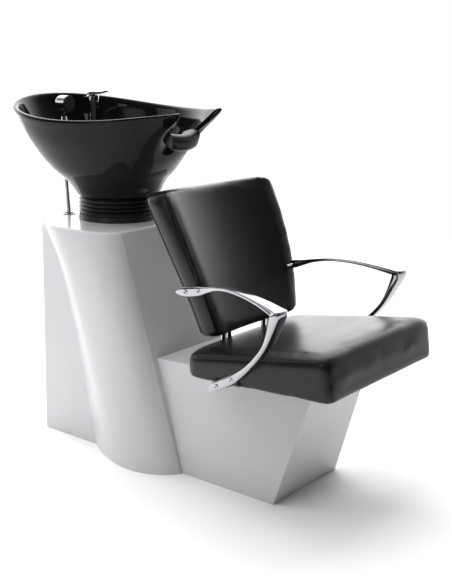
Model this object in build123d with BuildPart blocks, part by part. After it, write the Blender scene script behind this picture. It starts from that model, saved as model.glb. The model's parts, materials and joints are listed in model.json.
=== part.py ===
from build123d import *
from math import cos, pi, radians, sin
import os

# Shampoo backwash unit.  Millimetres, +Z up, the client sits towards -Y and lies back towards +Y.
# The origin is the middle of the footprint, on the floor.

# ---- driving dimensions -------------------------------------------------------------------
WALL = 5.0                      # moulded shell thickness
TOWER_TOP = 676.0               # height of the bowl tower
TOWER_REAR = 505.0              # rear face of the tower
TOWER_FRONT_FLOOR = -74.0       # foot of the sloping front face
TOWER_FRONT_TOP = 118.0         # head of the sloping front face
TOWER_MID_Y = 215.0
PLINTH_HALF = 150.0             # half width of the plinth at the floor
PLINTH_HALF_TOP = 128.0         # half width at its leaning front, under the seat
PLINTH_FRONT_FLOOR = -393.0
PLINTH_FRONT_TOP = -504.0
PLINTH_BACK = 60.0              # the plinth runs this far into the tower
PLINTH_TOP_REAR = 322.0
PLINTH_TOP_FRONT = 346.0

BOWL_Y = 300.0                  # axis of the bowl's foot
FOOT_Z = 744.0                  # underside of the bowl's foot
HINGE_Z = 706.0                 # tilt axis
DECK_Z = 942.0                  # tap deck inside the bowl
DECK_FRONT = 418.0
TAP_X, TAP_Y = 56.0, 458.0
SHOWER_X, SHOWER_Y = -56.0, 470.0
HOSE_Y = 462.0                  # where the hoses pass the tower top
SERVICE_R = 15.0
DRAIN_R = 23.0

SEAT_HALF = 249.0
SEAT_REAR = -165.0
SEAT_FRONT = -625.0
SEAT_REAR_BOTTOM = 347.0
SEAT_FRONT_BOTTOM = 366.0
SEAT_REAR_TOP = 392.0
SEAT_FRONT_TOP = 470.0
SEAT_FRONT_LEAN = 19.0
BOARD = 18.0                    # plywood thickness
RAIL_X = 95.0                   # seat rails, either side of the middle
RAIL_YS = (-250.0, -450.0)      # seat bolts along each rail

POST_Y = -184.0
POST_XS = (-103.0, -77.0, 77.0, 103.0)

# ridge of the backrest at five heights: (y, z, half width, lean in degrees, hollow of the front)
BACK_STATIONS = [
    (-233.0, 438.0, 178.0, 12.0, 12.0),
    (-209.0, 533.0, 198.0, 16.0, 22.0),
    (-178.0, 627.0, 212.0, 20.5, 32.0),
    (-138.0, 722.0, 220.0, 25.0, 38.0),
    (-92.0, 812.0, 224.0, 29.0, 40.0),
]
BACK_THICK = 64.0

FIT = 0.3                       # gap between neighbouring pieces that must not bind
PIN_FIT = 0.06


def finish(builder, label):
    """Label a finished piece and write its STEP file."""
    builder.part.label = label
    export_step(builder.part, f"parts/{label}.step")


os.makedirs("parts", exist_ok=True)


# ---- base moulding ------------------------------------------------------------------------
def blend_to(a, b, t):
    return a + (b - a) * t


def tower_outline(t, scale_x=1.0, scale_y=1.0):
    """Left half of the tower's plan outline at height fraction t, from the rear to the front."""
    crease = 0.65 * t + 0.35 * t ** 5
    bulge_floor = [(-187, 217), (-214, 153), (-229, 85), (-224, 25), (-197, -35)]
    bulge_top = [(-200, 410), (-226, 345), (-232, 272), (-230, 200), (-213, 148)]
    corner_a = (-150 + 46 * t, TOWER_REAR)
    corner_b = (-154 - 3 * t, TOWER_REAR - 4 - 32 * t)
    crease_pt = (-154 - 10 * t, blend_to(275, 457, crease))
    bulge = []
    for i, (low, high) in enumerate(zip(bulge_floor, bulge_top)):
        mix = crease + (t - crease) * (i + 1) / 6
        bulge.append((blend_to(low[0], high[0], t), blend_to(low[1], high[1], mix)))
    front_pt = (-157 - 20 * t, blend_to(TOWER_FRONT_FLOOR, TOWER_FRONT_TOP, t))
    points = [corner_a, corner_b, crease_pt] + bulge + [front_pt]
    return [(x * scale_x, TOWER_MID_Y + (y - TOWER_MID_Y) * scale_y) for x, y in points]


def tower_section(t, z, scale_x, scale_y):
    left = tower_outline(t, scale_x, scale_y)
    right = [(-x, y) for x, y in left]
    with BuildSketch(Plane.XY.offset(z)) as section:
        with BuildLine():
            Line(left[0], left[1])
            Line(left[1], left[2])
            Spline(*left[2:])
            Line(left[-1], right[-1])
            Spline(*right[:1:-1])
            Line(right[2], right[1])
            Line(right[1], right[0])
            Line(right[0], left[0])
        make_face()
    return section.sketch


def tower_solid(inset):
    scale_x = 1 - inset / 190
    scale_y = 1 - inset / 290
    top = TOWER_TOP - inset
    with BuildPart() as body:
        heights = [-1.0 if inset else 0.0] + [top * i / 4 for i in range(1, 5)]
        sections = [tower_section(i / 4, z, scale_x, scale_y) for i, z in enumerate(heights)]
        loft(sections=sections)
    return body.part


def plinth_solid(inset):
    half = PLINTH_HALF - inset
    half_top = PLINTH_HALF_TOP - inset
    slope = (PLINTH_TOP_FRONT - PLINTH_TOP_REAR) / (PLINTH_BACK - PLINTH_FRONT_TOP)
    height = 360.0
    lean = (PLINTH_FRONT_TOP - PLINTH_FRONT_FLOOR) * height / PLINTH_TOP_FRONT
    with BuildPart() as body:
        with BuildSketch(Plane.XY.offset(-1.0 if inset else 0.0)) as low:
            Polygon((-half, PLINTH_FRONT_FLOOR + inset), (half, PLINTH_FRONT_FLOOR + inset),
                    (half, PLINTH_BACK), (-half, PLINTH_BACK), align=None)
        with BuildSketch(Plane.XY.offset(height)) as high:
            Polygon((-half_top, PLINTH_FRONT_FLOOR + lean + inset),
                    (half_top, PLINTH_FRONT_FLOOR + lean + inset),
                    (half, PLINTH_BACK), (-half, PLINTH_BACK), align=None)
        loft(sections=[low.sketch, high.sketch])
        with BuildSketch(Plane.YZ) as above:
            y0, y1 = PLINTH_BACK + 1, PLINTH_FRONT_TOP - 40
            Polygon((y0, PLINTH_TOP_REAR - inset), (y0, height + 40), (y1, height + 40),
                    (y1, PLINTH_TOP_REAR - inset + slope * (y0 - y1)), align=None)
        extrude(above.sketch, amount=PLINTH_HALF + 60, both=True, mode=Mode.SUBTRACT)
    return body.part


PANEL_W, PANEL_H, PANEL_Z = 230.0, 380.0, 300.0
PANEL_SCREWS = [(x, z) for x in (-100, 100) for z in (PANEL_Z - 175, PANEL_Z + 175)]
GROMMETS = [(SHOWER_X, HOSE_Y), (TAP_X, HOSE_Y)]
TILT_BOLTS = [(x, BOWL_Y + y) for x in (-70, 70) for y in (-40, 40)]
SEAT_SLOPE = (PLINTH_TOP_FRONT - PLINTH_TOP_REAR) / (PLINTH_BACK - PLINTH_FRONT_TOP)


def plinth_top(y):
    return PLINTH_TOP_REAR + SEAT_SLOPE * (PLINTH_BACK + 1 - y)


def seat_bottom(y):
    along = (SEAT_REAR - y) / (SEAT_REAR - SEAT_FRONT)
    return SEAT_REAR_BOTTOM + (SEAT_FRONT_BOTTOM - SEAT_REAR_BOTTOM) * along


tower_inner = tower_solid(WALL)
plinth_inner = plinth_solid(WALL)
with BuildPart() as base_shell:
    add(tower_solid(0.0))
    fillet(base_shell.faces().sort_by(Axis.Z)[-1].edges(), radius=9)
    add(plinth_solid(0.0))
    add(tower_inner, mode=Mode.SUBTRACT)
    add(plinth_inner, mode=Mode.SUBTRACT)
    with Locations((0, BOWL_Y, TOWER_TOP)):
        Cylinder(92, 4 * WALL, mode=Mode.SUBTRACT)
    with Locations(*[(x, y, TOWER_TOP) for x, y in GROMMETS]):
        Cylinder(17, 4 * WALL, mode=Mode.SUBTRACT)
    with Locations((0, TOWER_REAR, PANEL_Z)):
        Box(PANEL_W - 50, 60, PANEL_H - 50, mode=Mode.SUBTRACT)
    with Locations(*[Location((x, TOWER_REAR, z), (90, 0, 0)) for x, z in PANEL_SCREWS]):
        Cylinder(2.4, 60, mode=Mode.SUBTRACT)
    with Locations(*[(x, y, plinth_top(y)) for x in (-RAIL_X, RAIL_X) for y in RAIL_YS]):
        Cylinder(4.5, 40, mode=Mode.SUBTRACT)
finish(base_shell, "base_shell")

with BuildPart() as rear_panel:
    with BuildSketch(Plane.XZ.offset(-TOWER_REAR)):
        with Locations((0, PANEL_Z)):
            RectangleRounded(PANEL_W, PANEL_H, 12)
    extrude(amount=-3)
    fillet(rear_panel.faces().sort_by(Axis.Y)[-1].edges(), radius=1.2)
    with Locations(*[Location((x, TOWER_REAR, z), (90, 0, 0)) for x, z in PANEL_SCREWS]):
        Cylinder(2.4, 20, mode=Mode.SUBTRACT)
finish(rear_panel, "rear_panel")

with BuildPart() as panel_screws:
    for x, z in PANEL_SCREWS:
        with Locations(Location((x, TOWER_REAR + 3, z), (-90, 0, 0))):
            Cylinder(4.6, 2.2, align=(Align.CENTER, Align.CENTER, Align.MIN))
            Cylinder(2.2, 14, align=(Align.CENTER, Align.CENTER, Align.MAX))
        with Locations(Location((x, TOWER_REAR + 5.2, z), (-90, 0, 0))):
            Box(1.2, 5, 1.6, mode=Mode.SUBTRACT)
            Box(5, 1.2, 1.6, mode=Mode.SUBTRACT)
finish(panel_screws, "panel_screws")

# ---- welded steel frames inside the moulding ----------------------------------------------
TUBE = 30.0                     # square tube
TUBE_BORE = 26.0
FRAME_X = 108.0                 # legs, either side of the middle
TOWER_LEGS = (170.0, 430.0)
PLINTH_LEGS = (-340.0, -110.0)
FRAME_TOP = TOWER_TOP - WALL
FLOOR_HOLE_R = 5.5


def bar(x0, y0, z0, x1, y1, z1):
    """A box given by two opposite corners, so that a frame reads as a cutting list."""
    size = (abs(x1 - x0), abs(y1 - y0), abs(z1 - z0))
    return Pos((x0 + x1) / 2, (y0 + y1) / 2, (z0 + z1) / 2) * Box(*size, mode=Mode.PRIVATE)


def tube_x(x0, x1, y, z, size):
    return bar(x0, y - size / 2, z - size / 2, x1, y + size / 2, z + size / 2)


def tube_y(x, y0, y1, z, size):
    return bar(x - size / 2, y0, z - size / 2, x + size / 2, y1, z + size / 2)


def tube_z(x, y, z0, z1, size):
    return bar(x - size / 2, y - size / 2, z0, x + size / 2, y + size / 2, z1)


with BuildPart() as tower_frame:
    for size, mode in ((TUBE, Mode.ADD), (TUBE_BORE, Mode.SUBTRACT)):
        trim = (TUBE - size) / 2
        for side in (-FRAME_X, FRAME_X):
            for y in TOWER_LEGS:
                add(tube_z(side, y, 6, FRAME_TOP - 6, size), mode=mode)
            for z in (80, 540):
                add(tube_y(side, TOWER_LEGS[0] + trim, TOWER_LEGS[1] - trim, z, size), mode=mode)
        for y, z in ((TOWER_LEGS[0], 80), (TOWER_LEGS[1], 80), (TOWER_LEGS[0], 540)):
            add(tube_x(-FRAME_X + trim, FRAME_X - trim, y, z, size), mode=mode)
    for side in (-FRAME_X, FRAME_X):
        for y, foot in ((TOWER_LEGS[0], -35), (TOWER_LEGS[1], 35)):
            add(bar(side - 25, y - 18, 0, side + 25, y + 18, 6))
            add(bar(side - 25, y, 0, side + 25, y + 1.5 * foot, 6))
            with Locations((side, y + foot, 3)):
                Cylinder(FLOOR_HOLE_R, 10, mode=Mode.SUBTRACT)
    add(bar(-124, 155, FRAME_TOP - 6, 124, 430, FRAME_TOP))
    with Locations((0, BOWL_Y, FRAME_TOP)):
        Cylinder(48, 20, mode=Mode.SUBTRACT)
    with Locations(*[(x, y, FRAME_TOP) for x, y in TILT_BOLTS]):
        Cylinder(4.3, 40, mode=Mode.SUBTRACT)
finish(tower_frame, "tower_frame")

SEAT_FRAME_TOP = plinth_top(PLINTH_LEGS[1]) - 2 * WALL - 4
with BuildPart() as seat_frame:
    for size, mode in ((TUBE, Mode.ADD), (TUBE_BORE, Mode.SUBTRACT)):
        trim = (TUBE - size) / 2
        for side in (-RAIL_X, RAIL_X):
            for y in PLINTH_LEGS:
                add(tube_z(side, y, 6, SEAT_FRAME_TOP - 20, size), mode=mode)
            add(tube_y(side, -470 + trim, -95 - trim, SEAT_FRAME_TOP - 15, size), mode=mode)
            add(tube_y(side, PLINTH_LEGS[0], TOWER_LEGS[0] - 60 - trim, 80, size), mode=mode)
        for y in PLINTH_LEGS:
            add(tube_x(-RAIL_X + trim, RAIL_X - trim, y, 80, size), mode=mode)
    for side in (-RAIL_X, RAIL_X):
        for y in PLINTH_LEGS:
            add(bar(side - 25, y - 25, 0, side + 25, y + 25, 6))
        add(bar(side - 15, TOWER_LEGS[0] - 66, 65, side + 15, TOWER_LEGS[0] - 60, 95))
        add(bar(side - 15, TOWER_LEGS[0] - 66, 65, side - 9, TOWER_LEGS[0] - 15 - FIT, 95))
    with Locations(*[(x, y, SEAT_FRAME_TOP) for x in (-RAIL_X, RAIL_X) for y in RAIL_YS]):
        Cylinder(4.5, 80, mode=Mode.SUBTRACT)
finish(seat_frame, "seat_frame")


def bolt(x, y, z_head, z_end, r, head_r, head_h):
    """A hexagon bolt along Z: the head starts at z_head and points away from z_end."""
    up = 1 if z_head > z_end else -1
    shank = Pos(x, y, (z_head + z_end) / 2) * Cylinder(r, abs(z_head - z_end))
    hexagon = Pos(x, y, z_head) * RegularPolygon(head_r, 6)
    return shank + extrude(hexagon, amount=up * head_h)


def nut(x, y, z, bore, across, height):
    """A hexagon nut standing on z."""
    ring = RegularPolygon(across, 6) - Circle(bore)
    return extrude(Pos(x, y, z) * ring, amount=height)


SEAT_BOLTS = [(x, y) for x in (-RAIL_X, RAIL_X) for y in RAIL_YS]
RAIL_LOW, RAIL_HIGH = -480.0, -200.0
with BuildPart() as seat_rails:
    with BuildSketch(Plane.YZ) as rail_side:
        Polygon((RAIL_HIGH, plinth_top(RAIL_HIGH)), (RAIL_HIGH, seat_bottom(RAIL_HIGH)),
                (RAIL_LOW, seat_bottom(RAIL_LOW)), (RAIL_LOW, plinth_top(RAIL_LOW)), align=None)
    for side in (-RAIL_X, RAIL_X):
        add(Pos(side, 0, 0) * extrude(rail_side.sketch, amount=20, both=True, mode=Mode.PRIVATE))
    with Locations(*[(x, y, plinth_top(y)) for x, y in SEAT_BOLTS]):
        Cylinder(4.5, 80, mode=Mode.SUBTRACT)
finish(seat_rails, "seat_rails")

seat_bolt_solids = [
    bolt(x, y, SEAT_FRAME_TOP - TUBE, seat_bottom(y) + 15, 4.0, 7.5, 5.3) for x, y in SEAT_BOLTS
]
with BuildPart() as seat_bolts:
    add(seat_bolt_solids)
finish(seat_bolts, "seat_bolts")

# ---- seat ---------------------------------------------------------------------------------
def seat_slab(inset, low, high):
    """A slice of the seat between two heights above its sloping underside, inset in plan."""
    with BuildPart(mode=Mode.PRIVATE) as slab:
        with BuildSketch(Plane.YZ) as side:
            rear, front = SEAT_REAR - inset, SEAT_FRONT + inset
            Polygon((rear, seat_bottom(rear) + low), (rear, seat_bottom(rear) + high),
                    (front, seat_bottom(front) + high), (front, seat_bottom(front) + low), align=None)
        extrude(side.sketch, amount=SEAT_HALF - inset, both=True)
    return slab.part


STUDS = [(x, POST_Y) for x in POST_XS]
TAB_IN = 250.0                  # inner face of an armrest bracket's upright tab
BRACKET_SCREWS = [(side * (TAB_IN - 58), y) for side in (-1, 1) for y in (-340, -296)]
with BuildPart() as seat_board:
    add(seat_slab(14, 0, BOARD))
    fillet(seat_board.edges().filter_by(Axis.Z), radius=35)
    with Locations(*[(x, y, seat_bottom(y)) for x, y in SEAT_BOLTS]):
        Cylinder(5.2, 60, mode=Mode.SUBTRACT)
    with Locations(*[(x, y, seat_bottom(y)) for x, y in STUDS]):
        Cylinder(4.2, 60, mode=Mode.SUBTRACT)
    with Locations(*[(x, y, seat_bottom(y)) for x, y in BRACKET_SCREWS]):
        Cylinder(2.7, 40, mode=Mode.SUBTRACT)
finish(seat_board, "seat_board")

with BuildPart() as seat_tnuts:
    with Locations(*[(x, y, seat_bottom(y) + BOARD + 0.5) for x, y in SEAT_BOLTS]):
        Cylinder(10, 1.6, align=(Align.CENTER, Align.CENTER, Align.MIN))
        Cylinder(5.1, 10, align=(Align.CENTER, Align.CENTER, Align.MAX))
        Cylinder(4.03, 40, mode=Mode.SUBTRACT)
finish(seat_tnuts, "seat_tnuts")

BACK_FOOT_Z = BACK_STATIONS[0][1]
BACK_UNDERSIDE = BACK_FOOT_Z - 12.0         # height of the backrest's lowest face at the posts
with BuildPart() as seat_cushion:
    with BuildSketch(Plane.YZ) as seat_side:
        Polygon((SEAT_REAR, SEAT_REAR_BOTTOM), (SEAT_REAR, SEAT_REAR_TOP),
                (SEAT_FRONT + SEAT_FRONT_LEAN, SEAT_FRONT_TOP), (SEAT_FRONT, SEAT_FRONT_BOTTOM),
                align=None)
        fillet(seat_side.vertices().sort_by(Axis.X)[-2:], radius=8)
        fillet(seat_side.vertices().sort_by(Axis.Y)[-1], radius=22)
    extrude(seat_side.sketch, amount=SEAT_HALF, both=True)
    with BuildSketch(Plane.XY.offset(SEAT_REAR_BOTTOM - 10)) as seat_plan:
        with Locations((0, (SEAT_REAR + SEAT_FRONT) / 2)):
            Rectangle(2 * SEAT_HALF, SEAT_REAR - SEAT_FRONT)
        fillet(seat_plan.vertices().group_by(Axis.Y)[-1], radius=52)
        fillet(seat_plan.vertices().group_by(Axis.Y)[0], radius=26)
    extrude(seat_plan.sketch, amount=160, mode=Mode.INTERSECT)
    add(seat_board.part, mode=Mode.SUBTRACT)
    with Locations(*[(x, y, seat_bottom(y)) for x, y in SEAT_BOLTS]):
        Cylinder(11, 50, mode=Mode.SUBTRACT)
    with Locations(*[(x, y, seat_bottom(y)) for x, y in STUDS]):
        Cylinder(7.3, 160, mode=Mode.SUBTRACT)
    with Locations(*[(x, y, seat_bottom(y)) for x, y in BRACKET_SCREWS]):
        Cylinder(2.7, 40, mode=Mode.SUBTRACT)
finish(seat_cushion, "seat_cushion")

with BuildPart() as post_sleeves:
    for x, y in STUDS:
        low, high = seat_bottom(y) + BOARD + 0.3, BACK_UNDERSIDE
        with Locations((x, y, low)):
            Cylinder(7, high - low, align=(Align.CENTER, Align.CENTER, Align.MIN))
            Cylinder(4.1, high - low, align=(Align.CENTER, Align.CENTER, Align.MIN), mode=Mode.SUBTRACT)
finish(post_sleeves, "post_sleeves")

STUD_TOP = 462.0
with BuildPart() as back_studs:
    with Locations(*[(x, y, seat_bottom(y) - 9) for x, y in STUDS]):
        Cylinder(4, STUD_TOP - seat_bottom(POST_Y) + 9, align=(Align.CENTER, Align.CENTER, Align.MIN))
finish(back_studs, "back_studs")

stud_nut_solids = [nut(x, y, seat_bottom(y) - 7.4, 4.05, 7.5, 6.5) for x, y in STUDS]
with BuildPart() as stud_nuts:
    add(stud_nut_solids)
finish(stud_nuts, "stud_nuts")

# ---- backrest -----------------------------------------------------------------------------
def back_plane(y, z, lean):
    """X across, Y towards the back of the backrest, Z up along it."""
    a = radians(lean)
    return Plane(origin=(0, y, z), x_dir=(1, 0, 0), z_dir=(0, sin(a), cos(a)))


def back_band(station, side_inset, front, rear):
    """Hollow-fronted cross-section between two depths behind the ridge."""
    y, z, half, lean, hollow = station
    w = half - side_inset
    with BuildSketch(back_plane(y, z, lean)) as band:
        with BuildLine():
            ThreePointArc((-w, front), (0, front + hollow), (w, front))
            Line((w, front), (w - 3, rear))
            ThreePointArc((w - 3, rear), (0, rear + hollow), (-w + 3, rear))
            Line((-w + 3, rear), (-w, front))
        make_face()
    return band.sketch


def back_stile(station, side, front, rear):
    y, z, half, lean, _ = station
    with BuildSketch(back_plane(y, z, lean)) as stile:
        with Locations((side * (half - 28), (front + rear) / 2)):
            Rectangle(26, rear - front)
    return stile.sketch


ARM_UP_SCREWS = [(-150.0, 556.0), (-196.0, 566.0)]
ARM_LOW_SCREWS = [(-341.0, 368.0), (-293.0, 341.0)]

BACK_INNER = [(y + 2, z + 10, w, lean, hollow) for y, z, w, lean, hollow in BACK_STATIONS[:1]]
BACK_INNER += BACK_STATIONS[1:4] + [(-99.0, 798.0, 223.0, 28.5, 40.0)]
with BuildPart() as back_frame:
    loft(sections=[back_band(s, 15, 38, 52) for s in BACK_INNER])
    for side in (-1, 1):
        loft(sections=[back_stile(s, side, 22, 54) for s in BACK_INNER[:3]])
    add(bar(-130, -205, 446, 130, -168, 472))
    with Locations(*[(x, y, STUD_TOP) for x, y in STUDS]):
        Cylinder(4.02, 60, mode=Mode.SUBTRACT)
    for side in (-1, 1):
        with Locations(*[Location((side * 200, y, z), (0, 90, 0)) for y, z in ARM_UP_SCREWS]):
            Cylinder(3.02, 70, mode=Mode.SUBTRACT)
finish(back_frame, "back_frame")

with BuildPart() as back_cushion:
    loft(sections=[back_band(s, 0, 0, BACK_THICK) for s in BACK_STATIONS])
    with BuildSketch(Plane.XZ) as outline:
        with BuildLine():
            low, high = BACK_UNDERSIDE - 8, BACK_STATIONS[-1][1] + 4
            Polyline((-260, low), (260, low), (260, high), (-260, high), close=True)
        make_face()
        fillet(outline.vertices().group_by(Axis.Y)[-1], radius=6)
    extrude(outline.sketch, amount=400, both=True, mode=Mode.INTERSECT)
    add(back_frame.part, mode=Mode.SUBTRACT)
    with Locations(*[(x, y, STUD_TOP - 30) for x, y in STUDS]):
        Cylinder(4.6, 60, mode=Mode.SUBTRACT)
    for side in (-1, 1):
        with Locations(*[Location((side * 205, y, z), (0, 90, 0)) for y, z in ARM_UP_SCREWS]):
            Cylinder(4.0, 90, mode=Mode.SUBTRACT)
finish(back_cushion, "back_cushion")

# ---- armrests -----------------------------------------------------------------------------
# stations along the casting: (inner x, outer x, y, z, thickness, direction of the outer side)
ELBOW = (-258, -304, -497, 567, 33, 162)
UPPER_ARM = [
    (-209, -212, -112, 548, 4, 72), (-207, -215, -128, 552, 19, 76), (-206, -216, -150, 556, 27, 78),
    (-206, -217, -192, 564, 25, 76), (-208, -222, -225, 573, 17, 73), (-212, -232, -262, 583, 11, 78),
    (-221, -246, -310, 590, 10, 88), (-232, -264, -370, 590, 11, 97), (-244, -281, -430, 583, 13, 105),
    (-254, -298, -484, 573, 20, 135), ELBOW,
]
LOWER_ARM = [
    ELBOW, (-257, -299, -485, 532, 22, 192), (-257, -291, -462, 484, 14, 208),
    (-256, -283, -432, 446, 14, 218), (-255, -275, -396, 410, 15, 229), (-254.5, -268, -364, 384, 19, 237),
    (-254.3, -265, -341, 368, 23, 240), (-254.3, -264, -293, 341, 26, 242),
    (-254.3, -262, -274, 330, 20, 244), (-256, -259, -258, 317, 4, 248),
]


def arm_section(station):
    inner, outer, y, z, thick, angle = station
    a = radians(angle)
    plane = Plane(origin=((inner + outer) / 2, y, z), x_dir=(1, 0, 0), z_dir=(0, -sin(a), cos(a)))
    with BuildSketch(plane) as section:
        RectangleRounded(abs(outer - inner), thick, 0.28 * min(abs(outer - inner), thick))
    return section.sketch


ARM_OUTER_UP, ARM_OUTER_LOW = -216.4, -264.6
ARM_SCREWS = [(ARM_OUTER_UP, y, z, 46.0) for y, z in ARM_UP_SCREWS]
ARM_SCREWS += [(ARM_OUTER_LOW, y, z, 13.0) for y, z in ARM_LOW_SCREWS]
SCREW_HEAD_R, SCREW_HEAD_H, SCREW_R = 6.4, 3.4, 3.0


def screw_shape(x, y, z, length, grow):
    """A countersunk screw, its head at x and its point towards +X."""
    head = Cone(SCREW_HEAD_R + grow, SCREW_R + grow, SCREW_HEAD_H, mode=Mode.PRIVATE,
                align=(Align.CENTER, Align.CENTER, Align.MIN))
    shank = Cylinder(SCREW_R + grow, length, mode=Mode.PRIVATE,
                     align=(Align.CENTER, Align.CENTER, Align.MIN))
    mouth = Cylinder(SCREW_HEAD_R + grow, 8, mode=Mode.PRIVATE,
                     align=(Align.CENTER, Align.CENTER, Align.MAX))
    solid = head + shank + mouth if grow else head + shank
    return Location((x, y, z), (0, 90, 0)) * solid


with BuildPart() as armrest_left:
    loft(sections=[arm_section(s) for s in UPPER_ARM])
    loft(sections=[arm_section(s) for s in LOWER_ARM])
    for x, y, z, length in ARM_SCREWS:
        add(screw_shape(x + 0.6, y, z, length, 0.2), mode=Mode.SUBTRACT)
finish(armrest_left, "armrest_left")

with BuildPart() as armrest_right:
    add(mirror(armrest_left.part, about=Plane.YZ, mode=Mode.PRIVATE))
finish(armrest_right, "armrest_right")

with BuildPart() as arm_screws:
    for x, y, z, length in ARM_SCREWS:
        add(screw_shape(x + 0.6, y, z, length, 0))
        with BuildSketch(Plane(origin=(x + 0.6, y, z), z_dir=(1, 0, 0))):
            RegularPolygon(2.4, 6)
        extrude(amount=2.4, mode=Mode.SUBTRACT)
    add(mirror(arm_screws.part, about=Plane.YZ, mode=Mode.PRIVATE))
finish(arm_screws, "arm_screws")

with BuildPart() as arm_brackets:
    with BuildSketch(Plane.YZ) as leg_side:
        y0, y1 = -360.0, -276.0
        Polygon((y0, seat_bottom(y0)), (y1, seat_bottom(y1)), (y1, seat_bottom(y1) - 4),
                (y0, seat_bottom(y0) - 4), align=None)
    add(Pos(TAB_IN - 40, 0, 0) * extrude(leg_side.sketch, amount=44, both=True, mode=Mode.PRIVATE))
    with BuildSketch(Plane.YZ) as tab_side:
        Polygon((-354, 378), (-333, 378), (-282, 349), (-282, 332), (-301, 332), (-354, 357), align=None)
    add(Pos(TAB_IN + 2, 0, 0) * extrude(tab_side.sketch, amount=2, both=True, mode=Mode.PRIVATE))
    with Locations(*[Location((TAB_IN, y, z), (0, 90, 0)) for y, z in ARM_LOW_SCREWS]):
        Cylinder(3.02, 30, mode=Mode.SUBTRACT)
    with Locations(*[(x, y, 350) for x, y in BRACKET_SCREWS[2:]]):
        Cylinder(3.0, 40, mode=Mode.SUBTRACT)
    add(mirror(arm_brackets.part, about=Plane.YZ, mode=Mode.PRIVATE))
finish(arm_brackets, "arm_brackets")

bracket_screw_solids = [
    bolt(x, y, seat_bottom(y) - 4.5, seat_bottom(y) + 13, 2.5, 5.0, 2.5) for x, y in BRACKET_SCREWS
]
with BuildPart() as bracket_screws:
    add(bracket_screw_solids)
finish(bracket_screws, "bracket_screws")

# ---- tilt mechanism under the bowl --------------------------------------------------------
PIN_R = 6.0
EAR_GAP = 1.0
EAR_T = 6.0
CARRIER_EAR = 53.0              # inner face of the carrier's ear
BASE_EAR = CARRIER_EAR + EAR_T + EAR_GAP
CARRIER_RING_R = 102.0
FOOT_CAVITY_R = 72.0
FOOT_CAVITY_TOP = 778.0
CARRIER_BOLTS = [
    (88 * cos(pi / 4 + i * pi / 2), BOWL_Y + 88 * sin(pi / 4 + i * pi / 2)) for i in range(4)
]


def ear(x0, x1, z_root, half_width, hole_r):
    """A lug with a round head about the tilt axis, rooted above or below it."""
    plane = Plane(origin=(x0, BOWL_Y, HINGE_Z), x_dir=(0, 1, 0), z_dir=(1, 0, 0))
    drop = z_root - HINGE_Z
    shape = Circle(half_width) + Pos(0, drop / 2) * Rectangle(2 * half_width, abs(drop))
    return extrude(plane * (shape - Circle(hole_r)), amount=x1 - x0)


TILT_PLATE_TOP = FRAME_TOP + 6
base_ears = [
    ear(x, x + EAR_T, TILT_PLATE_TOP - 1, 17, PIN_R + PIN_FIT) for x in (-BASE_EAR - EAR_T, BASE_EAR)
]
with BuildPart() as tilt_base:
    with Locations((0, BOWL_Y, FRAME_TOP)):
        Cylinder(90, 6, align=(Align.CENTER, Align.CENTER, Align.MIN))
        Cylinder(40, 20, mode=Mode.SUBTRACT)
    add(base_ears)
    with Locations(*[(x, y, FRAME_TOP) for x, y in TILT_BOLTS]):
        Cylinder(4.3, 30, mode=Mode.SUBTRACT)
finish(tilt_base, "tilt_base")

tilt_bolt_solids = [bolt(x, y, TILT_PLATE_TOP, FRAME_TOP - 22, 4.0, 7.5, 5.3) for x, y in TILT_BOLTS]
tilt_bolt_solids += [nut(x, y, FRAME_TOP - 12.6, 4.02, 7.5, 6.5) for x, y in TILT_BOLTS]
with BuildPart() as tilt_base_bolts:
    add(tilt_bolt_solids[:4])
finish(tilt_base_bolts, "tilt_base_bolts")
with BuildPart() as tilt_base_nuts:
    add(tilt_bolt_solids[4:])
finish(tilt_base_nuts, "tilt_base_nuts")

carrier_ears = [
    ear(x, x + EAR_T, FOOT_Z - 5, 16, PIN_R + PIN_FIT) for x in (-CARRIER_EAR - EAR_T, CARRIER_EAR)
]
with BuildPart() as tilt_carrier:
    with Locations((0, BOWL_Y, FOOT_Z)):
        Cylinder(CARRIER_RING_R, 6, align=(Align.CENTER, Align.CENTER, Align.MAX))
        Cylinder(44, 20, mode=Mode.SUBTRACT)
    add(carrier_ears)
    with Locations(*[(x, y, FOOT_Z) for x, y in CARRIER_BOLTS]):
        Cylinder(4.2, 20, mode=Mode.SUBTRACT)
finish(tilt_carrier, "tilt_carrier")

carrier_bolt_solids = [bolt(x, y, FOOT_Z - 6, FOOT_Z + 18, 4.0, 7.5, 5.3) for x, y in CARRIER_BOLTS]
with BuildPart() as carrier_bolts:
    add(carrier_bolt_solids)
finish(carrier_bolts, "carrier_bolts")

with BuildPart() as foot_plugs:
    with Locations(*[(x, y, FOOT_Z) for x, y in CARRIER_BOLTS]):
        Cylinder(6.5, 20, align=(Align.CENTER, Align.CENTER, Align.MIN))
        Cylinder(4.02, 18.4, align=(Align.CENTER, Align.CENTER, Align.MIN), mode=Mode.SUBTRACT)
finish(foot_plugs, "foot_plugs")

PIN_PLANES = [
    Plane(origin=(side * (BASE_EAR + EAR_T + 0.1), BOWL_Y, HINGE_Z), z_dir=(side, 0, 0))
    for side in (-1, 1)
]
with BuildPart() as tilt_pins:
    for plane in PIN_PLANES:
        with BuildSketch(plane):
            Circle(11)
        extrude(amount=5)
        with BuildSketch(plane):
            Circle(PIN_R)
        extrude(amount=-(2 * EAR_T + EAR_GAP + 9))
finish(tilt_pins, "tilt_pins")

with BuildPart() as tilt_pin_nuts:
    for plane in PIN_PLANES:
        with BuildSketch(plane.offset(-(2 * EAR_T + EAR_GAP + 0.3))):
            RegularPolygon(10.5, 6)
            Circle(PIN_R + 0.02, mode=Mode.SUBTRACT)
        extrude(amount=-6.5)
finish(tilt_pin_nuts, "tilt_pin_nuts")

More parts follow.
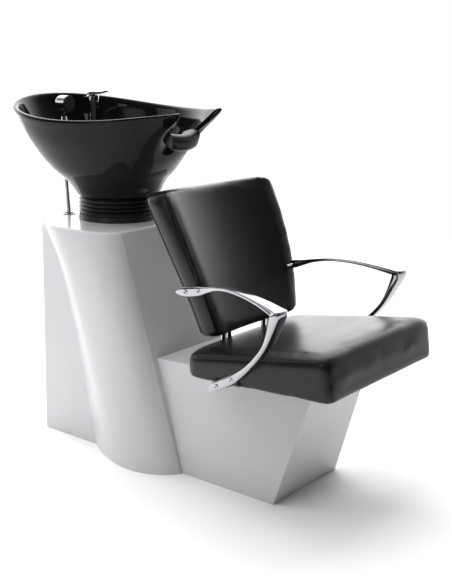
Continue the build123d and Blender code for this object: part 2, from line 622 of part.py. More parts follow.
with BuildPart() as friction_washers:
    for plane in PIN_PLANES:
        with BuildSketch(plane.offset(-(EAR_T + 0.2))):
            Circle(15)
            Circle(PIN_R + 0.3, mode=Mode.SUBTRACT)
        extrude(amount=-(EAR_GAP - 0.2))
finish(friction_washers, "friction_washers")

# ---- bellows ------------------------------------------------------------------------------
RING_TOP = 692.0
with BuildPart() as bellows_ring:
    with BuildSketch(Plane.XZ.offset(-BOWL_Y)):
        with BuildLine():
            Polyline((96, TOWER_TOP), (121, TOWER_TOP), (119, RING_TOP), (96, RING_TOP), close=True)
        make_face()
    revolve(axis=Axis((0, BOWL_Y, 0), (0, 0, 1)))
finish(bellows_ring, "bellows_ring")

FOLDS = 4
FOLD_H = (FOOT_Z - 0.5 - RING_TOP) / FOLDS
with BuildPart() as bellows:
    with BuildSketch(Plane.XZ.offset(-BOWL_Y)):
        with BuildLine():
            outer = [(112.0, RING_TOP)]
            for i in range(FOLDS):
                outer.append((119.5 - i, RING_TOP + (i + 0.5) * FOLD_H))
                outer.append((112.0, RING_TOP + (i + 1) * FOLD_H))
            inner = [(x - 3.0, z) for x, z in outer]
            Polyline(*(outer + inner[::-1]), close=True)
        make_face()
    revolve(axis=Axis((0, BOWL_Y, 0), (0, 0, 1)))
finish(bellows, "bellows")

# ---- bowl ---------------------------------------------------------------------------------
# plan sections of the outside: (z, half width, half length, centre y, egg factor)
BOWL_OUTSIDE = [
    (744, 119, 119, 300, 0.0), (757, 126, 127, 300, 0.0), (778, 137, 140, 302, 0.02),
    (797, 150, 157, 305, 0.03), (815, 168, 184, 309, 0.05), (853, 190, 222, 314, 0.08),
    (910, 217, 266, 310, 0.12), (965, 236, 302, 300, 0.15), (1000, 245, 321, 293, 0.17),
    (1045, 254, 332, 290, 0.17),
]
BOWL_INSIDE = [
    (790, 74, 74, 300, 0.0), (798, 112, 115, 303, 0.0), (815, 148, 163, 308, 0.04),
    (853, 178, 210, 313, 0.08), (910, 206, 255, 310, 0.12), (965, 225, 291, 300, 0.15),
    (1000, 234, 310, 293, 0.17), (1050, 243, 321, 290, 0.17),
]
EGG_POINTS = 20


def egg(section):
    z, half_x, half_y, centre, egg_factor = section
    points = []
    for i in range(EGG_POINTS):
        a = 2 * pi * i / EGG_POINTS
        points.append((half_x * sin(a) * (1 + egg_factor * cos(a)), centre + half_y * cos(a)))
    with BuildSketch(Plane.XY.offset(z)) as outline:
        with BuildLine():
            Spline(*points, periodic=True)
        make_face()
    return outline.sketch


def rim_height(y):
    """Height of the rim: high at the back and at the horns, low beside the client's head."""
    u = (y - 292) / 327
    return 984 + 33 * u * u + 10 * u


NOTCH_HALF, NOTCH_FLOOR, HORN_HALF, HORN_Z = 58.0, 934.0, 92.0, 1010.0
with BuildPart() as notch_tool:
    with BuildSketch(Plane.XZ.offset(140)):
        with BuildLine():
            Line((-HORN_HALF - 8, HORN_Z + 40), (-NOTCH_HALF, NOTCH_FLOOR + 12))
            ThreePointArc((-NOTCH_HALF, NOTCH_FLOOR + 12), (0, NOTCH_FLOOR), (NOTCH_HALF, NOTCH_FLOOR + 12))
            Line((NOTCH_HALF, NOTCH_FLOOR + 12), (HORN_HALF + 8, HORN_Z + 40))
            Line((HORN_HALF + 8, HORN_Z + 40), (-HORN_HALF - 8, HORN_Z + 40))
        make_face()
    extrude(amount=-290)

DECK_T = 10.0
with BuildPart() as bowl_hollow:
    loft(sections=[egg(s) for s in BOWL_INSIDE])
    add(bar(-260, DECK_FRONT, DECK_Z - DECK_T, 260, 640, DECK_Z), mode=Mode.SUBTRACT)
    add(bar(-260, DECK_FRONT, 780, 260, DECK_FRONT + DECK_T, DECK_Z), mode=Mode.SUBTRACT)

SERVICE_HOLES = [(SHOWER_X, HOSE_Y + 4), (TAP_X, HOSE_Y)]
with BuildPart() as basin_bowl:
    loft(sections=[egg(s) for s in BOWL_OUTSIDE])
    with BuildSketch(Plane.YZ) as above_rim:
        with BuildLine():
            rim_line = [(y, rim_height(y)) for y in (-80, 60, 180, 292, 400, 520, 660)]
            Spline(*rim_line)
            Polyline(rim_line[-1], (660, 1100), (-80, 1100), rim_line[0])
        make_face()
    extrude(above_rim.sketch, amount=320, both=True, mode=Mode.SUBTRACT)
    add(bowl_hollow.part, mode=Mode.SUBTRACT)
    add(notch_tool.part, mode=Mode.SUBTRACT)
    with Locations((0, BOWL_Y, FOOT_Z)):
        Cylinder(FOOT_CAVITY_R, 2 * (FOOT_CAVITY_TOP - FOOT_Z), mode=Mode.SUBTRACT)
        Cylinder(DRAIN_R, 110, mode=Mode.SUBTRACT)
    with Locations(*[(x, y, FOOT_Z) for x, y in CARRIER_BOLTS]):
        Cylinder(6.5, 42, mode=Mode.SUBTRACT)
    with Locations(*[(x, y, 810) for x, y in SERVICE_HOLES]):
        Cylinder(SERVICE_R, 80, mode=Mode.SUBTRACT)
    with Locations((TAP_X, TAP_Y, DECK_Z), (SHOWER_X, SHOWER_Y, DECK_Z)):
        Cylinder(16, 40, mode=Mode.SUBTRACT)
finish(basin_bowl, "basin_bowl")

# ---- neck rest ----------------------------------------------------------------------------
REST_IN, REST_OUT = 9.0, 24.0
with BuildPart() as neck_rest:
    with BuildSketch(Plane.XZ.offset(-2)) as rest_face:
        with BuildLine():
            w, z = NOTCH_HALF + 6, NOTCH_FLOOR
            ThreePointArc((-w, z + 30), (0, z + REST_IN), (w, z + 30))
            Line((w, z + 30), (w + 7, z + 8))
            ThreePointArc((w + 7, z + 8), (0, z - REST_OUT), (-w - 7, z + 8))
            Line((-w - 7, z + 8), (-w, z + 30))
        make_face()
    extrude(amount=-64)
    fillet(neck_rest.edges().filter_by(GeomType.CIRCLE), radius=5)
    add(basin_bowl.part, mode=Mode.SUBTRACT)
finish(neck_rest, "neck_rest")

# ---- waste --------------------------------------------------------------------------------
BOWL_FLOOR = 790.0
WASTE_R, WASTE_BORE = 22.5, 19.0
WASTE_END = 740.0
with BuildPart() as waste_flange:
    with Locations((0, BOWL_Y, BOWL_FLOOR)):
        Cylinder(34, 3, align=(Align.CENTER, Align.CENTER, Align.MIN))
    with Locations((0, BOWL_Y, WASTE_END)):
        Cylinder(WASTE_R, BOWL_FLOOR - WASTE_END, align=(Align.CENTER, Align.CENTER, Align.MIN))
        Cylinder(WASTE_BORE, 60, align=(Align.CENTER, Align.CENTER, Align.MIN), mode=Mode.SUBTRACT)
    fillet(waste_flange.edges().sort_by(Axis.Z)[-1], radius=1.2)
finish(waste_flange, "waste_flange")

waste_nut_solid = nut(0, BOWL_Y, 764, WASTE_R + 0.05, 36, 10)
with BuildPart() as waste_nut:
    add(waste_nut_solid)
finish(waste_nut, "waste_nut")

with BuildPart() as waste_gasket:
    with Locations((0, BOWL_Y, 774)):
        Cylinder(34, 4, align=(Align.CENTER, Align.CENTER, Align.MIN))
        Cylinder(WASTE_R + 0.05, 20, mode=Mode.SUBTRACT)
finish(waste_gasket, "waste_gasket")

STRAINER_Z = BOWL_FLOOR + 3.2
with BuildPart() as hair_strainer:
    with BuildSketch(Plane.XZ.offset(-BOWL_Y)):
        with BuildLine():
            Polyline((0, STRAINER_Z + 4.5), (0, STRAINER_Z + 6.5), (9, STRAINER_Z + 5.9),
                     (17, STRAINER_Z + 4.0), (25, STRAINER_Z), (17, STRAINER_Z),
                     (17, STRAINER_Z - 12), (15.5, STRAINER_Z - 12), (15.5, STRAINER_Z + 2.4),
                     (8, STRAINER_Z + 4.0), close=True)
        make_face()
    revolve(axis=Axis((0, BOWL_Y, 0), (0, 0, 1)))
    with Locations((0, BOWL_Y, STRAINER_Z)):
        with PolarLocations(5.5, 6):
            Cylinder(1.3, 30, mode=Mode.SUBTRACT)
        with PolarLocations(12, 12):
            Cylinder(1.5, 30, mode=Mode.SUBTRACT)
finish(hair_strainer, "hair_strainer")

# ---- hoses --------------------------------------------------------------------------------
def corner_radii(points):
    """The largest tangent arc that each corner's two runs allow."""
    radii = []
    for a, b, c in zip(points, points[1:], points[2:]):
        before, after = Vector(*b) - Vector(*a), Vector(*c) - Vector(*b)
        turn = radians(before.get_angle(after))
        radii.append(0.45 * min(before.length, after.length) * cos(turn / 2) / sin(turn / 2))
    return radii


def hose_path(points):
    radii = corner_radii(points)
    print("hose bends", [round(r) for r in radii])
    with BuildLine() as path:
        FilletPolyline(*points, radius=radii)
    return path.line


WASTE_ROUTE = [
    (0, BOWL_Y, WASTE_END - 0.6), (0, 302, 600), (0, 303, 470), (0, 345, 340), (0, 384, 230),
    (0, 384, 131),
]
SHOWER_ROUTE = [
    (56, 455, 901.5), (57, 456.5, 790), (56, 455.8, 676), (52, 440, 560), (60, 414, 440),
    (62, 402, 339.8), (22.2, 396, 300), (-34.2, 396, 300), (-74, 402, 339.8), (-72, 414, 440),
    (-64, 440, 560), (-56, HOSE_Y, 676), (SHOWER_X, HOSE_Y + 7, 800),
]
HOT_ROUTE = [
    (50, 465.5, 901.5), (51, 467, 790), (50, 466.5, 676), (52, 460, 540), (48, 455, 400), (51, 456, 260),
    (46, 451, 150), (46, 450.5, 64.5),
]
COLD_ROUTE = [
    (62, 465.5, 901.5), (63, 467, 790), (62, 466.5, 676), (70, 460, 540), (76, 455, 400), (76, 457, 260),
    (74, 451, 150), (74, 450.5, 64.5),
]
WASTE_HOSE_R, SHOWER_HOSE_R, SUPPLY_HOSE_R = 21.0, 6.0, 5.0


def hose_section(points, radius):
    path = hose_path(points)
    with BuildSketch(Plane(origin=path @ 0, z_dir=path % 0)) as section:
        Circle(radius)
    return path, section.sketch


waste_path, waste_section = hose_section(WASTE_ROUTE, WASTE_HOSE_R)
with BuildPart() as waste_hose:
    sweep(sections=waste_section, path=waste_path)
finish(waste_hose, "waste_hose")

shower_path, shower_section = hose_section(SHOWER_ROUTE, SHOWER_HOSE_R)
with BuildPart() as shower_hose:
    sweep(sections=shower_section, path=shower_path)
finish(shower_hose, "shower_hose")

hot_path, hot_section = hose_section(HOT_ROUTE, SUPPLY_HOSE_R)
with BuildPart() as hot_hose:
    sweep(sections=hot_section, path=hot_path)
finish(hot_hose, "hot_hose")

cold_path, cold_section = hose_section(COLD_ROUTE, SUPPLY_HOSE_R)
with BuildPart() as cold_hose:
    sweep(sections=cold_section, path=cold_path)
finish(cold_hose, "cold_hose")

INLETS = [HOT_ROUTE[-1][:2], COLD_ROUTE[-1][:2]]
INLET_Z = 30.0
INLET_BORE = 7.5
with BuildPart() as inlet_nuts:
    with BuildSketch(Plane.XY.offset(INLET_Z)):
        with Locations(*INLETS):
            RegularPolygon(12.5, 6)
    extrude(amount=22)
    with Locations(*[(x, y, INLET_Z) for x, y in INLETS]):
        Cylinder(9, 34, align=(Align.CENTER, Align.CENTER, Align.MIN))
        Cylinder(INLET_BORE, 15, align=(Align.CENTER, Align.CENTER, Align.MIN), mode=Mode.SUBTRACT)
finish(inlet_nuts, "inlet_nuts")

with BuildPart() as hose_clip:
    add(bar(34, 445.2, 74, 92, 458, 88))
    with Locations(*[(x, y, 80) for x, y in INLETS]):
        Cylinder(SUPPLY_HOSE_R + 0.4, 40, mode=Mode.SUBTRACT)
    with Locations(Location((63, 450, 81), (90, 0, 0))):
        Cylinder(2, 40, mode=Mode.SUBTRACT)
finish(hose_clip, "hose_clip")

WASTE_OUT_Y = WASTE_ROUTE[-1][1]
WASTE_OUT_R = 20.0
WASTE_NECK_R = 22.0              # the stretch that the clip holds, above the spigot
WASTE_NECK_Z = 70.0
with BuildPart() as waste_outlet:
    with Locations((0, WASTE_OUT_Y, 15)):
        Cylinder(WASTE_OUT_R, 115, align=(Align.CENTER, Align.CENTER, Align.MIN))
    with Locations((0, WASTE_OUT_Y, WASTE_NECK_Z)):
        Cylinder(WASTE_NECK_R, 50, align=(Align.CENTER, Align.CENTER, Align.MIN))
    with Locations((0, WASTE_OUT_Y, 112)):
        Cylinder(24, 18, align=(Align.CENTER, Align.CENTER, Align.MIN))
    with Locations((0, WASTE_OUT_Y, 15)):
        Cylinder(17, 130, align=(Align.CENTER, Align.CENTER, Align.MIN), mode=Mode.SUBTRACT)
finish(waste_outlet, "waste_outlet")

with BuildPart() as waste_clip:
    add(bar(-34, WASTE_OUT_Y - 27, 72, 34, TOWER_LEGS[1] - TUBE / 2 - 0.2, 90))
    with Locations((0, WASTE_OUT_Y, 80)):
        Cylinder(WASTE_NECK_R + 0.2, 40, mode=Mode.SUBTRACT)
finish(waste_clip, "waste_clip")

with BuildPart() as hose_grommets:
    with Locations(*[(x, y, TOWER_TOP) for x, y in GROMMETS]):
        Cylinder(21, 3, align=(Align.CENTER, Align.CENTER, Align.MIN))
        Cylinder(16.8, 14, align=(Align.CENTER, Align.CENTER, Align.MAX))
        Cylinder(15.2, 40, mode=Mode.SUBTRACT)
    fillet(hose_grommets.edges().group_by(Axis.Z)[-1].sort_by(SortBy.LENGTH)[-2:], radius=1.2)
finish(hose_grommets, "hose_grommets")

# ---- mixer tap ----------------------------------------------------------------------------
with BuildPart() as mixer_body:
    with Locations((TAP_X, TAP_Y, DECK_Z)):
        Cylinder(23, 5, align=(Align.CENTER, Align.CENTER, Align.MIN))
        Cylinder(17.5, 56, align=(Align.CENTER, Align.CENTER, Align.MIN))
        Cylinder(6, 68, align=(Align.CENTER, Align.CENTER, Align.MIN))
        Cylinder(15, 40, align=(Align.CENTER, Align.CENTER, Align.MAX))
    with Locations((TAP_X, TAP_Y, DECK_Z + 44)):
        Cylinder(19, 4, align=(Align.CENTER, Align.CENTER, Align.MIN))
finish(mixer_body, "mixer_body")

mixer_nut_solid = nut(TAP_X, TAP_Y, DECK_Z - DECK_T - 11, 15.05, 22, 8)
with BuildPart() as mixer_nut:
    add(mixer_nut_solid)
finish(mixer_nut, "mixer_nut")

with BuildPart() as mixer_gasket:
    with Locations((TAP_X, TAP_Y, DECK_Z - DECK_T - 0.2)):
        Cylinder(21, 2.6, align=(Align.CENTER, Align.CENTER, Align.MAX))
        Cylinder(15.05, 10, mode=Mode.SUBTRACT)
finish(mixer_gasket, "mixer_gasket")

CAP_Z = DECK_Z + 56.4
LEVER_Z = CAP_Z + 22
with BuildPart() as mixer_cap:
    with Locations((TAP_X, TAP_Y, CAP_Z)):
        Cylinder(18.5, 28, align=(Align.CENTER, Align.CENTER, Align.MIN))
        Cylinder(6 + PIN_FIT, 12, align=(Align.CENTER, Align.CENTER, Align.MIN), mode=Mode.SUBTRACT)
    fillet(mixer_cap.edges().sort_by(Axis.Z)[-1], radius=5)
    with Locations((TAP_X, TAP_Y, LEVER_Z)):
        Box(13, 60, 20, mode=Mode.SUBTRACT)
    with Locations(Location((TAP_X, TAP_Y, LEVER_Z), (0, 90, 0))):
        Cylinder(2.05, 60, mode=Mode.SUBTRACT)
    with Locations(Location((TAP_X, TAP_Y - 18.4, CAP_Z + 7), (90, 0, 0))):
        Cylinder(3.1, 5, mode=Mode.SUBTRACT)
finish(mixer_cap, "mixer_cap")

with BuildPart() as mixer_index:
    with Locations(Location((TAP_X, TAP_Y - 17.4, CAP_Z + 7), (90, 0, 0))):
        Cylinder(3, 3.0)
finish(mixer_index, "mixer_index")

with BuildPart() as mixer_pin:
    with Locations(Location((TAP_X, TAP_Y, LEVER_Z), (0, 90, 0))):
        Cylinder(2, 32)
finish(mixer_pin, "mixer_pin")

LEVER_REACH = 62.0
with BuildPart() as mixer_lever:
    with Locations(Location((TAP_X, TAP_Y, LEVER_Z), (0, 90, 0))):
        Cylinder(6.5, 12)
    with BuildSketch(Plane.XY.offset(LEVER_Z + 8)) as blade:
        with BuildLine():
            Polyline((TAP_X - 6, TAP_Y + 8), (TAP_X + 6, TAP_Y + 8), (TAP_X + 6, TAP_Y - 12),
                     (TAP_X + 9, TAP_Y - LEVER_REACH), (TAP_X - 9, TAP_Y - LEVER_REACH),
                     (TAP_X - 6, TAP_Y - 12), close=True)
        make_face()
        fillet(blade.vertices().group_by(Axis.Y)[0], radius=6)
    extrude(amount=4.5)
    with Locations((TAP_X, TAP_Y, LEVER_Z)):
        Box(12, 9, 10, align=(Align.CENTER, Align.CENTER, Align.MIN))
    with Locations(Location((TAP_X, TAP_Y, LEVER_Z), (0, 90, 0))):
        Cylinder(2 + PIN_FIT, 60, mode=Mode.SUBTRACT)
finish(mixer_lever, "mixer_lever")

# ---- hand shower and its holder -----------------------------------------------------------
PLUG_R = 10.5
with BuildPart() as shower_holder:
    with Locations((SHOWER_X, SHOWER_Y, DECK_Z)):
        Cylinder(21, 7, align=(Align.CENTER, Align.CENTER, Align.MIN))
        Cylinder(15, 26, align=(Align.CENTER, Align.CENTER, Align.MAX))
        Cylinder(PLUG_R + 0.5, 80, mode=Mode.SUBTRACT)
    fillet(shower_holder.edges().group_by(Axis.Z)[-1].sort_by(SortBy.LENGTH)[-1], radius=2.5)
finish(shower_holder, "shower_holder")

holder_nut_solid = nut(SHOWER_X, SHOWER_Y, DECK_Z - DECK_T - 8.2, 15.05, 22, 8)
with BuildPart() as holder_nut:
    add(holder_nut_solid)
finish(holder_nut, "holder_nut")

HEAD_Y, HEAD_Z, HEAD_R = 462.0, 1006.0, 23.0
PLUG_LOW = DECK_Z - 36
with BuildPart() as hand_shower:
    with BuildSketch(Plane.XZ.offset(-SHOWER_Y)):
        with BuildLine():
            Polyline((SHOWER_X, PLUG_LOW), (SHOWER_X + PLUG_R, PLUG_LOW),
                     (SHOWER_X + PLUG_R, DECK_Z + 7.4), (SHOWER_X + 13.5, DECK_Z + 7.4),
                     (SHOWER_X + 13.5, DECK_Z + 14), (SHOWER_X + 10.5, DECK_Z + 26),
                     (SHOWER_X + 12, HEAD_Z), (SHOWER_X, HEAD_Z), close=True)
        make_face()
    revolve(axis=Axis((SHOWER_X, SHOWER_Y, 0), (0, 0, 1)))
    with Locations(Location((SHOWER_X, HEAD_Y, HEAD_Z), (90, 0, 0))):
        Cylinder(HEAD_R, 40)
    fillet(hand_shower.edges().filter_by(GeomType.CIRCLE).sort_by(Axis.Y)[-1], radius=8)
finish(hand_shower, "hand_shower")

with BuildPart() as shower_face:
    with Locations(Location((SHOWER_X, HEAD_Y - 20, HEAD_Z), (90, 0, 0))):
        Cylinder(HEAD_R - 1.5, 3, align=(Align.CENTER, Align.CENTER, Align.MIN))
        for ring, count in ((6, 6), (12, 12), (17.5, 18)):
            with PolarLocations(ring, count):
                Cylinder(0.8, 10, mode=Mode.SUBTRACT)
finish(shower_face, "shower_face")

with BuildPart() as hose_tail:
    with Locations((SHOWER_X, SHOWER_Y, 803)):
        Cylinder(SHOWER_HOSE_R, PLUG_LOW - 803, align=(Align.CENTER, Align.CENTER, Align.MIN))
finish(hose_tail, "hose_tail")
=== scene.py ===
import bpy
import json
from math import cos, exp, pi, radians, sin, sqrt
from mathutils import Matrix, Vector
from mathutils.bvhtree import BVHTree


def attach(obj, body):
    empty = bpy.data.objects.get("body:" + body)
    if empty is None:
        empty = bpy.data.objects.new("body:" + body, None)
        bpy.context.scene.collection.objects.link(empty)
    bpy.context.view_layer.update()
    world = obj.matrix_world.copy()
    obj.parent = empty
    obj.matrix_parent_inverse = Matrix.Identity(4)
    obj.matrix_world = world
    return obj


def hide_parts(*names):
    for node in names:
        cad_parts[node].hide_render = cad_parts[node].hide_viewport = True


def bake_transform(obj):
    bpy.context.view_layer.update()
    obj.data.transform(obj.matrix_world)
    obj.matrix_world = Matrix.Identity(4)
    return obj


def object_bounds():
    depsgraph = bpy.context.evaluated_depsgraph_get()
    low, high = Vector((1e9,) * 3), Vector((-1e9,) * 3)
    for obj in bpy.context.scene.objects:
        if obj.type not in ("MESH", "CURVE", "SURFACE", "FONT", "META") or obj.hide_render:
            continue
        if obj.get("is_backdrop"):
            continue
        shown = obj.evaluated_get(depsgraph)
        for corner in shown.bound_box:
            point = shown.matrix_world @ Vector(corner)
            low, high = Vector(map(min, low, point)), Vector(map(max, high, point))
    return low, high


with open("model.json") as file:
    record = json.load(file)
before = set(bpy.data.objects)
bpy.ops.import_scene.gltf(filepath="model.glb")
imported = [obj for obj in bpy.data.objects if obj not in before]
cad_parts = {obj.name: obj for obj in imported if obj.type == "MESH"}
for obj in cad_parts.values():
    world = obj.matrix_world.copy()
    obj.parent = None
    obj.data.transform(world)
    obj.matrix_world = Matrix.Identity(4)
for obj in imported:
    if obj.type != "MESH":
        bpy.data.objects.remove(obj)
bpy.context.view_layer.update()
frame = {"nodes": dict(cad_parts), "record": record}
nodes = frame["nodes"]
MM = 0.001
BOWL_Y = 300          # millimetres: the middle of the bowl's foot
TAP_X = 56            # the tap's axis
SIDES = ((-1, "left"), (1, "right"))


# ---- materials ----------------------------------------------------------------------------
def material(name, color, rough, metal=0.0, **sockets):
    """A Principled material and its node tree, with scalar values set on the shader's sockets."""
    mat = bpy.data.materials.new(name)
    mat.use_nodes = True
    shader = mat.node_tree.nodes["Principled BSDF"]
    shader.inputs["Base Color"].default_value = (*color, 1)
    shader.inputs["Roughness"].default_value = rough
    shader.inputs["Metallic"].default_value = metal
    for key, value in sockets.items():
        shader.inputs[key.replace("_", " ")].default_value = value
    return mat


def noise(mat, scale, detail=3.0, stretch=(1, 1, 1)):
    """Noise in object coordinates, stretched per axis."""
    tree = mat.node_tree
    coords = tree.nodes.new("ShaderNodeTexCoord")
    mapping = tree.nodes.new("ShaderNodeMapping")
    mapping.inputs["Scale"].default_value = stretch
    tex = tree.nodes.new("ShaderNodeTexNoise")
    tex.inputs["Scale"].default_value = scale
    tex.inputs["Detail"].default_value = detail
    tex.inputs["Roughness"].default_value = 0.5
    tree.links.new(coords.outputs["Object"], mapping.inputs["Vector"])
    tree.links.new(mapping.outputs["Vector"], tex.inputs["Vector"])
    return tex.outputs["Fac"]


def ramp(mat, source, stops):
    """Remaps a value to colours; stops are (position, grey or colour)."""
    node = mat.node_tree.nodes.new("ShaderNodeValToRGB")
    node.color_ramp.elements[0].position = stops[0][0]
    node.color_ramp.elements[1].position = stops[-1][0]
    for position, _ in stops[1:-1]:
        node.color_ramp.elements.new(position)
    for element, (_, value) in zip(node.color_ramp.elements, stops):
        element.color = (*value, 1) if isinstance(value, tuple) else (value, value, value, 1)
    mat.node_tree.links.new(source, node.inputs["Fac"])
    return node.outputs["Color"]


def vary(mat, socket, source, stops):
    """Drives one of the shader's sockets by a remapped value."""
    shader = mat.node_tree.nodes["Principled BSDF"]
    mat.node_tree.links.new(ramp(mat, source, stops), shader.inputs[socket])


def bump(mat, layers):
    """Adds bump from (height output, distance in metres, strength) layers, coarse first."""
    tree = mat.node_tree
    last = None
    for height, distance, strength in layers:
        node = tree.nodes.new("ShaderNodeBump")
        node.inputs["Distance"].default_value = distance
        node.inputs["Strength"].default_value = strength
        tree.links.new(height, node.inputs["Height"])
        if last:
            tree.links.new(last, node.inputs["Normal"])
        last = node.outputs["Normal"]
    tree.links.new(last, tree.nodes["Principled BSDF"].inputs["Normal"])


gelcoat = material("gelcoat", (0.80, 0.82, 0.84), 0.22, Coat_Weight=0.25, Coat_Roughness=0.06,
                   Specular_IOR_Level=0.4)
vary(gelcoat, "Base Color", noise(gelcoat, 2.2, 4),
     [(0.3, (0.60, 0.595, 0.615)), (0.7, (0.64, 0.635, 0.655))])
vary(gelcoat, "Roughness", noise(gelcoat, 9.0, 2), [(0.2, 0.20), (0.8, 0.27)])
bump(gelcoat, [(noise(gelcoat, 5.0, 0), 0.004, 0.02)])

glaze = material("black_glaze", (0.004, 0.004, 0.005), 0.05, Specular_IOR_Level=0.16)
vary(glaze, "Base Color", noise(glaze, 6.0, 2),
     [(0.3, (0.003, 0.003, 0.0035)), (0.7, (0.006, 0.006, 0.0065))])
vary(glaze, "Roughness", noise(glaze, 8.0, 2), [(0.3, 0.03), (0.8, 0.08)])
bump(glaze, [(noise(glaze, 9.0, 1), 0.003, 0.04)])

vinyl = material("black_vinyl", (0.007, 0.007, 0.008), 0.36, Specular_IOR_Level=0.34)
vary(vinyl, "Base Color", noise(vinyl, 5.0, 2),
     [(0.3, (0.005, 0.005, 0.0055)), (0.75, (0.009, 0.009, 0.0095))])
vary(vinyl, "Roughness", noise(vinyl, 12.0, 2), [(0.25, 0.27), (0.8, 0.34)])
bump(vinyl, [
    (noise(vinyl, 14.0, 1), 0.003, 0.06),
    (noise(vinyl, 90.0, 2, (1, 0.5, 1)), 0.0005, 0.08),
    (noise(vinyl, 1100.0, 1), 0.0002, 0.20),
])

chrome = material("polished_chrome", (0.52, 0.52, 0.54), 0.05, 1.0)
vary(chrome, "Roughness", noise(chrome, 60.0, 5), [(0.4, 0.03), (0.85, 0.11)])
bump(chrome, [(noise(chrome, 40.0, 2), 0.0004, 0.05)])

alloy = material("polished_aluminium", (0.40, 0.40, 0.42), 0.10, 1.0)
vary(alloy, "Roughness", noise(alloy, 26.0, 2, (1, 0.4, 1)), [(0.3, 0.07), (0.8, 0.15)])
bump(alloy, [(noise(alloy, 18.0, 3), 0.0012, 0.10), (noise(alloy, 700.0, 2, (1, 0.15, 1)), 0.00006, 0.15)])

rubber = material("black_rubber", (0.012, 0.012, 0.013), 0.40, Specular_IOR_Level=0.32)
vary(rubber, "Base Color", noise(rubber, 20.0, 3),
     [(0.3, (0.007, 0.007, 0.007)), (0.8, (0.014, 0.014, 0.014))])
vary(rubber, "Roughness", noise(rubber, 60.0, 3), [(0.3, 0.30), (0.8, 0.45)])
bump(rubber, [(noise(rubber, 1400.0, 3), 0.0001, 0.25)])

plastic = material("black_plastic", (0.02, 0.02, 0.021), 0.42)
vary(plastic, "Roughness", noise(plastic, 50.0, 4), [(0.3, 0.36), (0.8, 0.52)])
bump(plastic, [(noise(plastic, 2200.0, 2), 0.0001, 0.35)])

zinc = material("zinc_steel", (0.60, 0.61, 0.62), 0.32, 1.0)
vary(zinc, "Base Color", noise(zinc, 90.0, 5), [(0.3, (0.52, 0.53, 0.54)), (0.75, (0.68, 0.68, 0.67))])
vary(zinc, "Roughness", noise(zinc, 160.0, 5), [(0.3, 0.25), (0.8, 0.42)])
bump(zinc, [(noise(zinc, 900.0, 3), 0.0001, 0.2)])

powder = material("frame_steel", (0.03, 0.03, 0.032), 0.45)
vary(powder, "Roughness", noise(powder, 45.0, 4), [(0.3, 0.38), (0.8, 0.55)])
bump(powder, [(noise(powder, 1200.0, 3), 0.00015, 0.4)])

ply = material("plywood", (0.6, 0.43, 0.26), 0.62)
vary(ply, "Base Color", noise(ply, 8.0, 8, (1, 14, 30)),
     [(0.3, (0.42, 0.27, 0.15)), (0.55, (0.60, 0.43, 0.26)), (0.8, (0.70, 0.55, 0.37))])
bump(ply, [(noise(ply, 60.0, 6, (1, 8, 20)), 0.0004, 0.3)])

hose_rubber = material("grey_hose", (0.10, 0.10, 0.11), 0.5)
vary(hose_rubber, "Roughness", noise(hose_rubber, 70.0, 4), [(0.3, 0.42), (0.8, 0.6)])
bump(hose_rubber, [(noise(hose_rubber, 800.0, 3), 0.0002, 0.4)])

brass = material("bright_brass", (0.70, 0.52, 0.24), 0.25, 1.0)
vary(brass, "Roughness", noise(brass, 120.0, 5), [(0.3, 0.18), (0.8, 0.38)])
bump(brass, [(noise(brass, 600.0, 3), 0.0001, 0.2)])

strainer_mat = material("strainer_steel", (0.72, 0.73, 0.74), 0.2, 1.0)
vary(strainer_mat, "Roughness", noise(strainer_mat, 110.0, 5), [(0.3, 0.14), (0.8, 0.3)])

# the tap's index mark is red on one half and blue on the other
index_mat = material("index_red", (0.7, 0.05, 0.05), 0.3, Coat_Weight=0.4)
tree = index_mat.node_tree
coords = tree.nodes.new("ShaderNodeTexCoord")
split = tree.nodes.new("ShaderNodeSeparateXYZ")
above = tree.nodes.new("ShaderNodeMath")
above.operation = "GREATER_THAN"
above.inputs[1].default_value = TAP_X * MM
tree.links.new(coords.outputs["Object"], split.inputs["Vector"])
tree.links.new(split.outputs["X"], above.inputs[0])
vary(index_mat, "Base Color", above.outputs[0], [(0.0, (0.02, 0.09, 0.5)), (1.0, (0.62, 0.03, 0.03))])

SLOTS = {
    "gelcoat": gelcoat, "black_glaze": glaze, "black_vinyl": vinyl, "polished_chrome": chrome,
    "polished_aluminium": alloy, "black_rubber": rubber, "black_plastic": plastic, "zinc_steel": zinc,
    "frame_steel": powder, "plywood": ply, "grey_hose": hose_rubber, "bright_brass": brass,
    "strainer_steel": strainer_mat, "index_red": index_mat,
}
for entry in frame["record"]["subparts"]:
    mesh = nodes[entry["node"]].data
    mesh.materials.clear()
    mesh.materials.append(SLOTS[entry["material_slot"]])


# ---- mesh helpers -------------------------------------------------------------------------
def make(name, verts, faces, mat, slot, body, smooth=True):
    """A piece from vertices in millimetres."""
    mesh = bpy.data.meshes.new(name)
    mesh.from_pydata([(x * MM, y * MM, z * MM) for x, y, z in verts], [], faces)
    mesh.update()
    mesh.polygons.foreach_set("use_smooth", [smooth] * len(mesh.polygons))
    mesh.materials.append(mat)
    piece = bpy.data.objects.new(name, mesh)
    bpy.context.collection.objects.link(piece)
    if body:
        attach(piece, body)
    return piece


def rings(sections, close=True, caps=True):
    """Vertices and faces through equal-length rings of points."""
    count = len(sections[0])
    verts = [p for ring in sections for p in ring]
    faces = []
    for i in range(len(sections) - 1):
        for j in range(count if close else count - 1):
            k = (j + 1) % count
            faces.append((i * count + j, i * count + k, (i + 1) * count + k, (i + 1) * count + j))
    if caps:
        for i, order in ((0, -1), (len(sections) - 1, 1)):
            faces.append(tuple(range(i * count, (i + 1) * count))[::order])
    return verts, faces


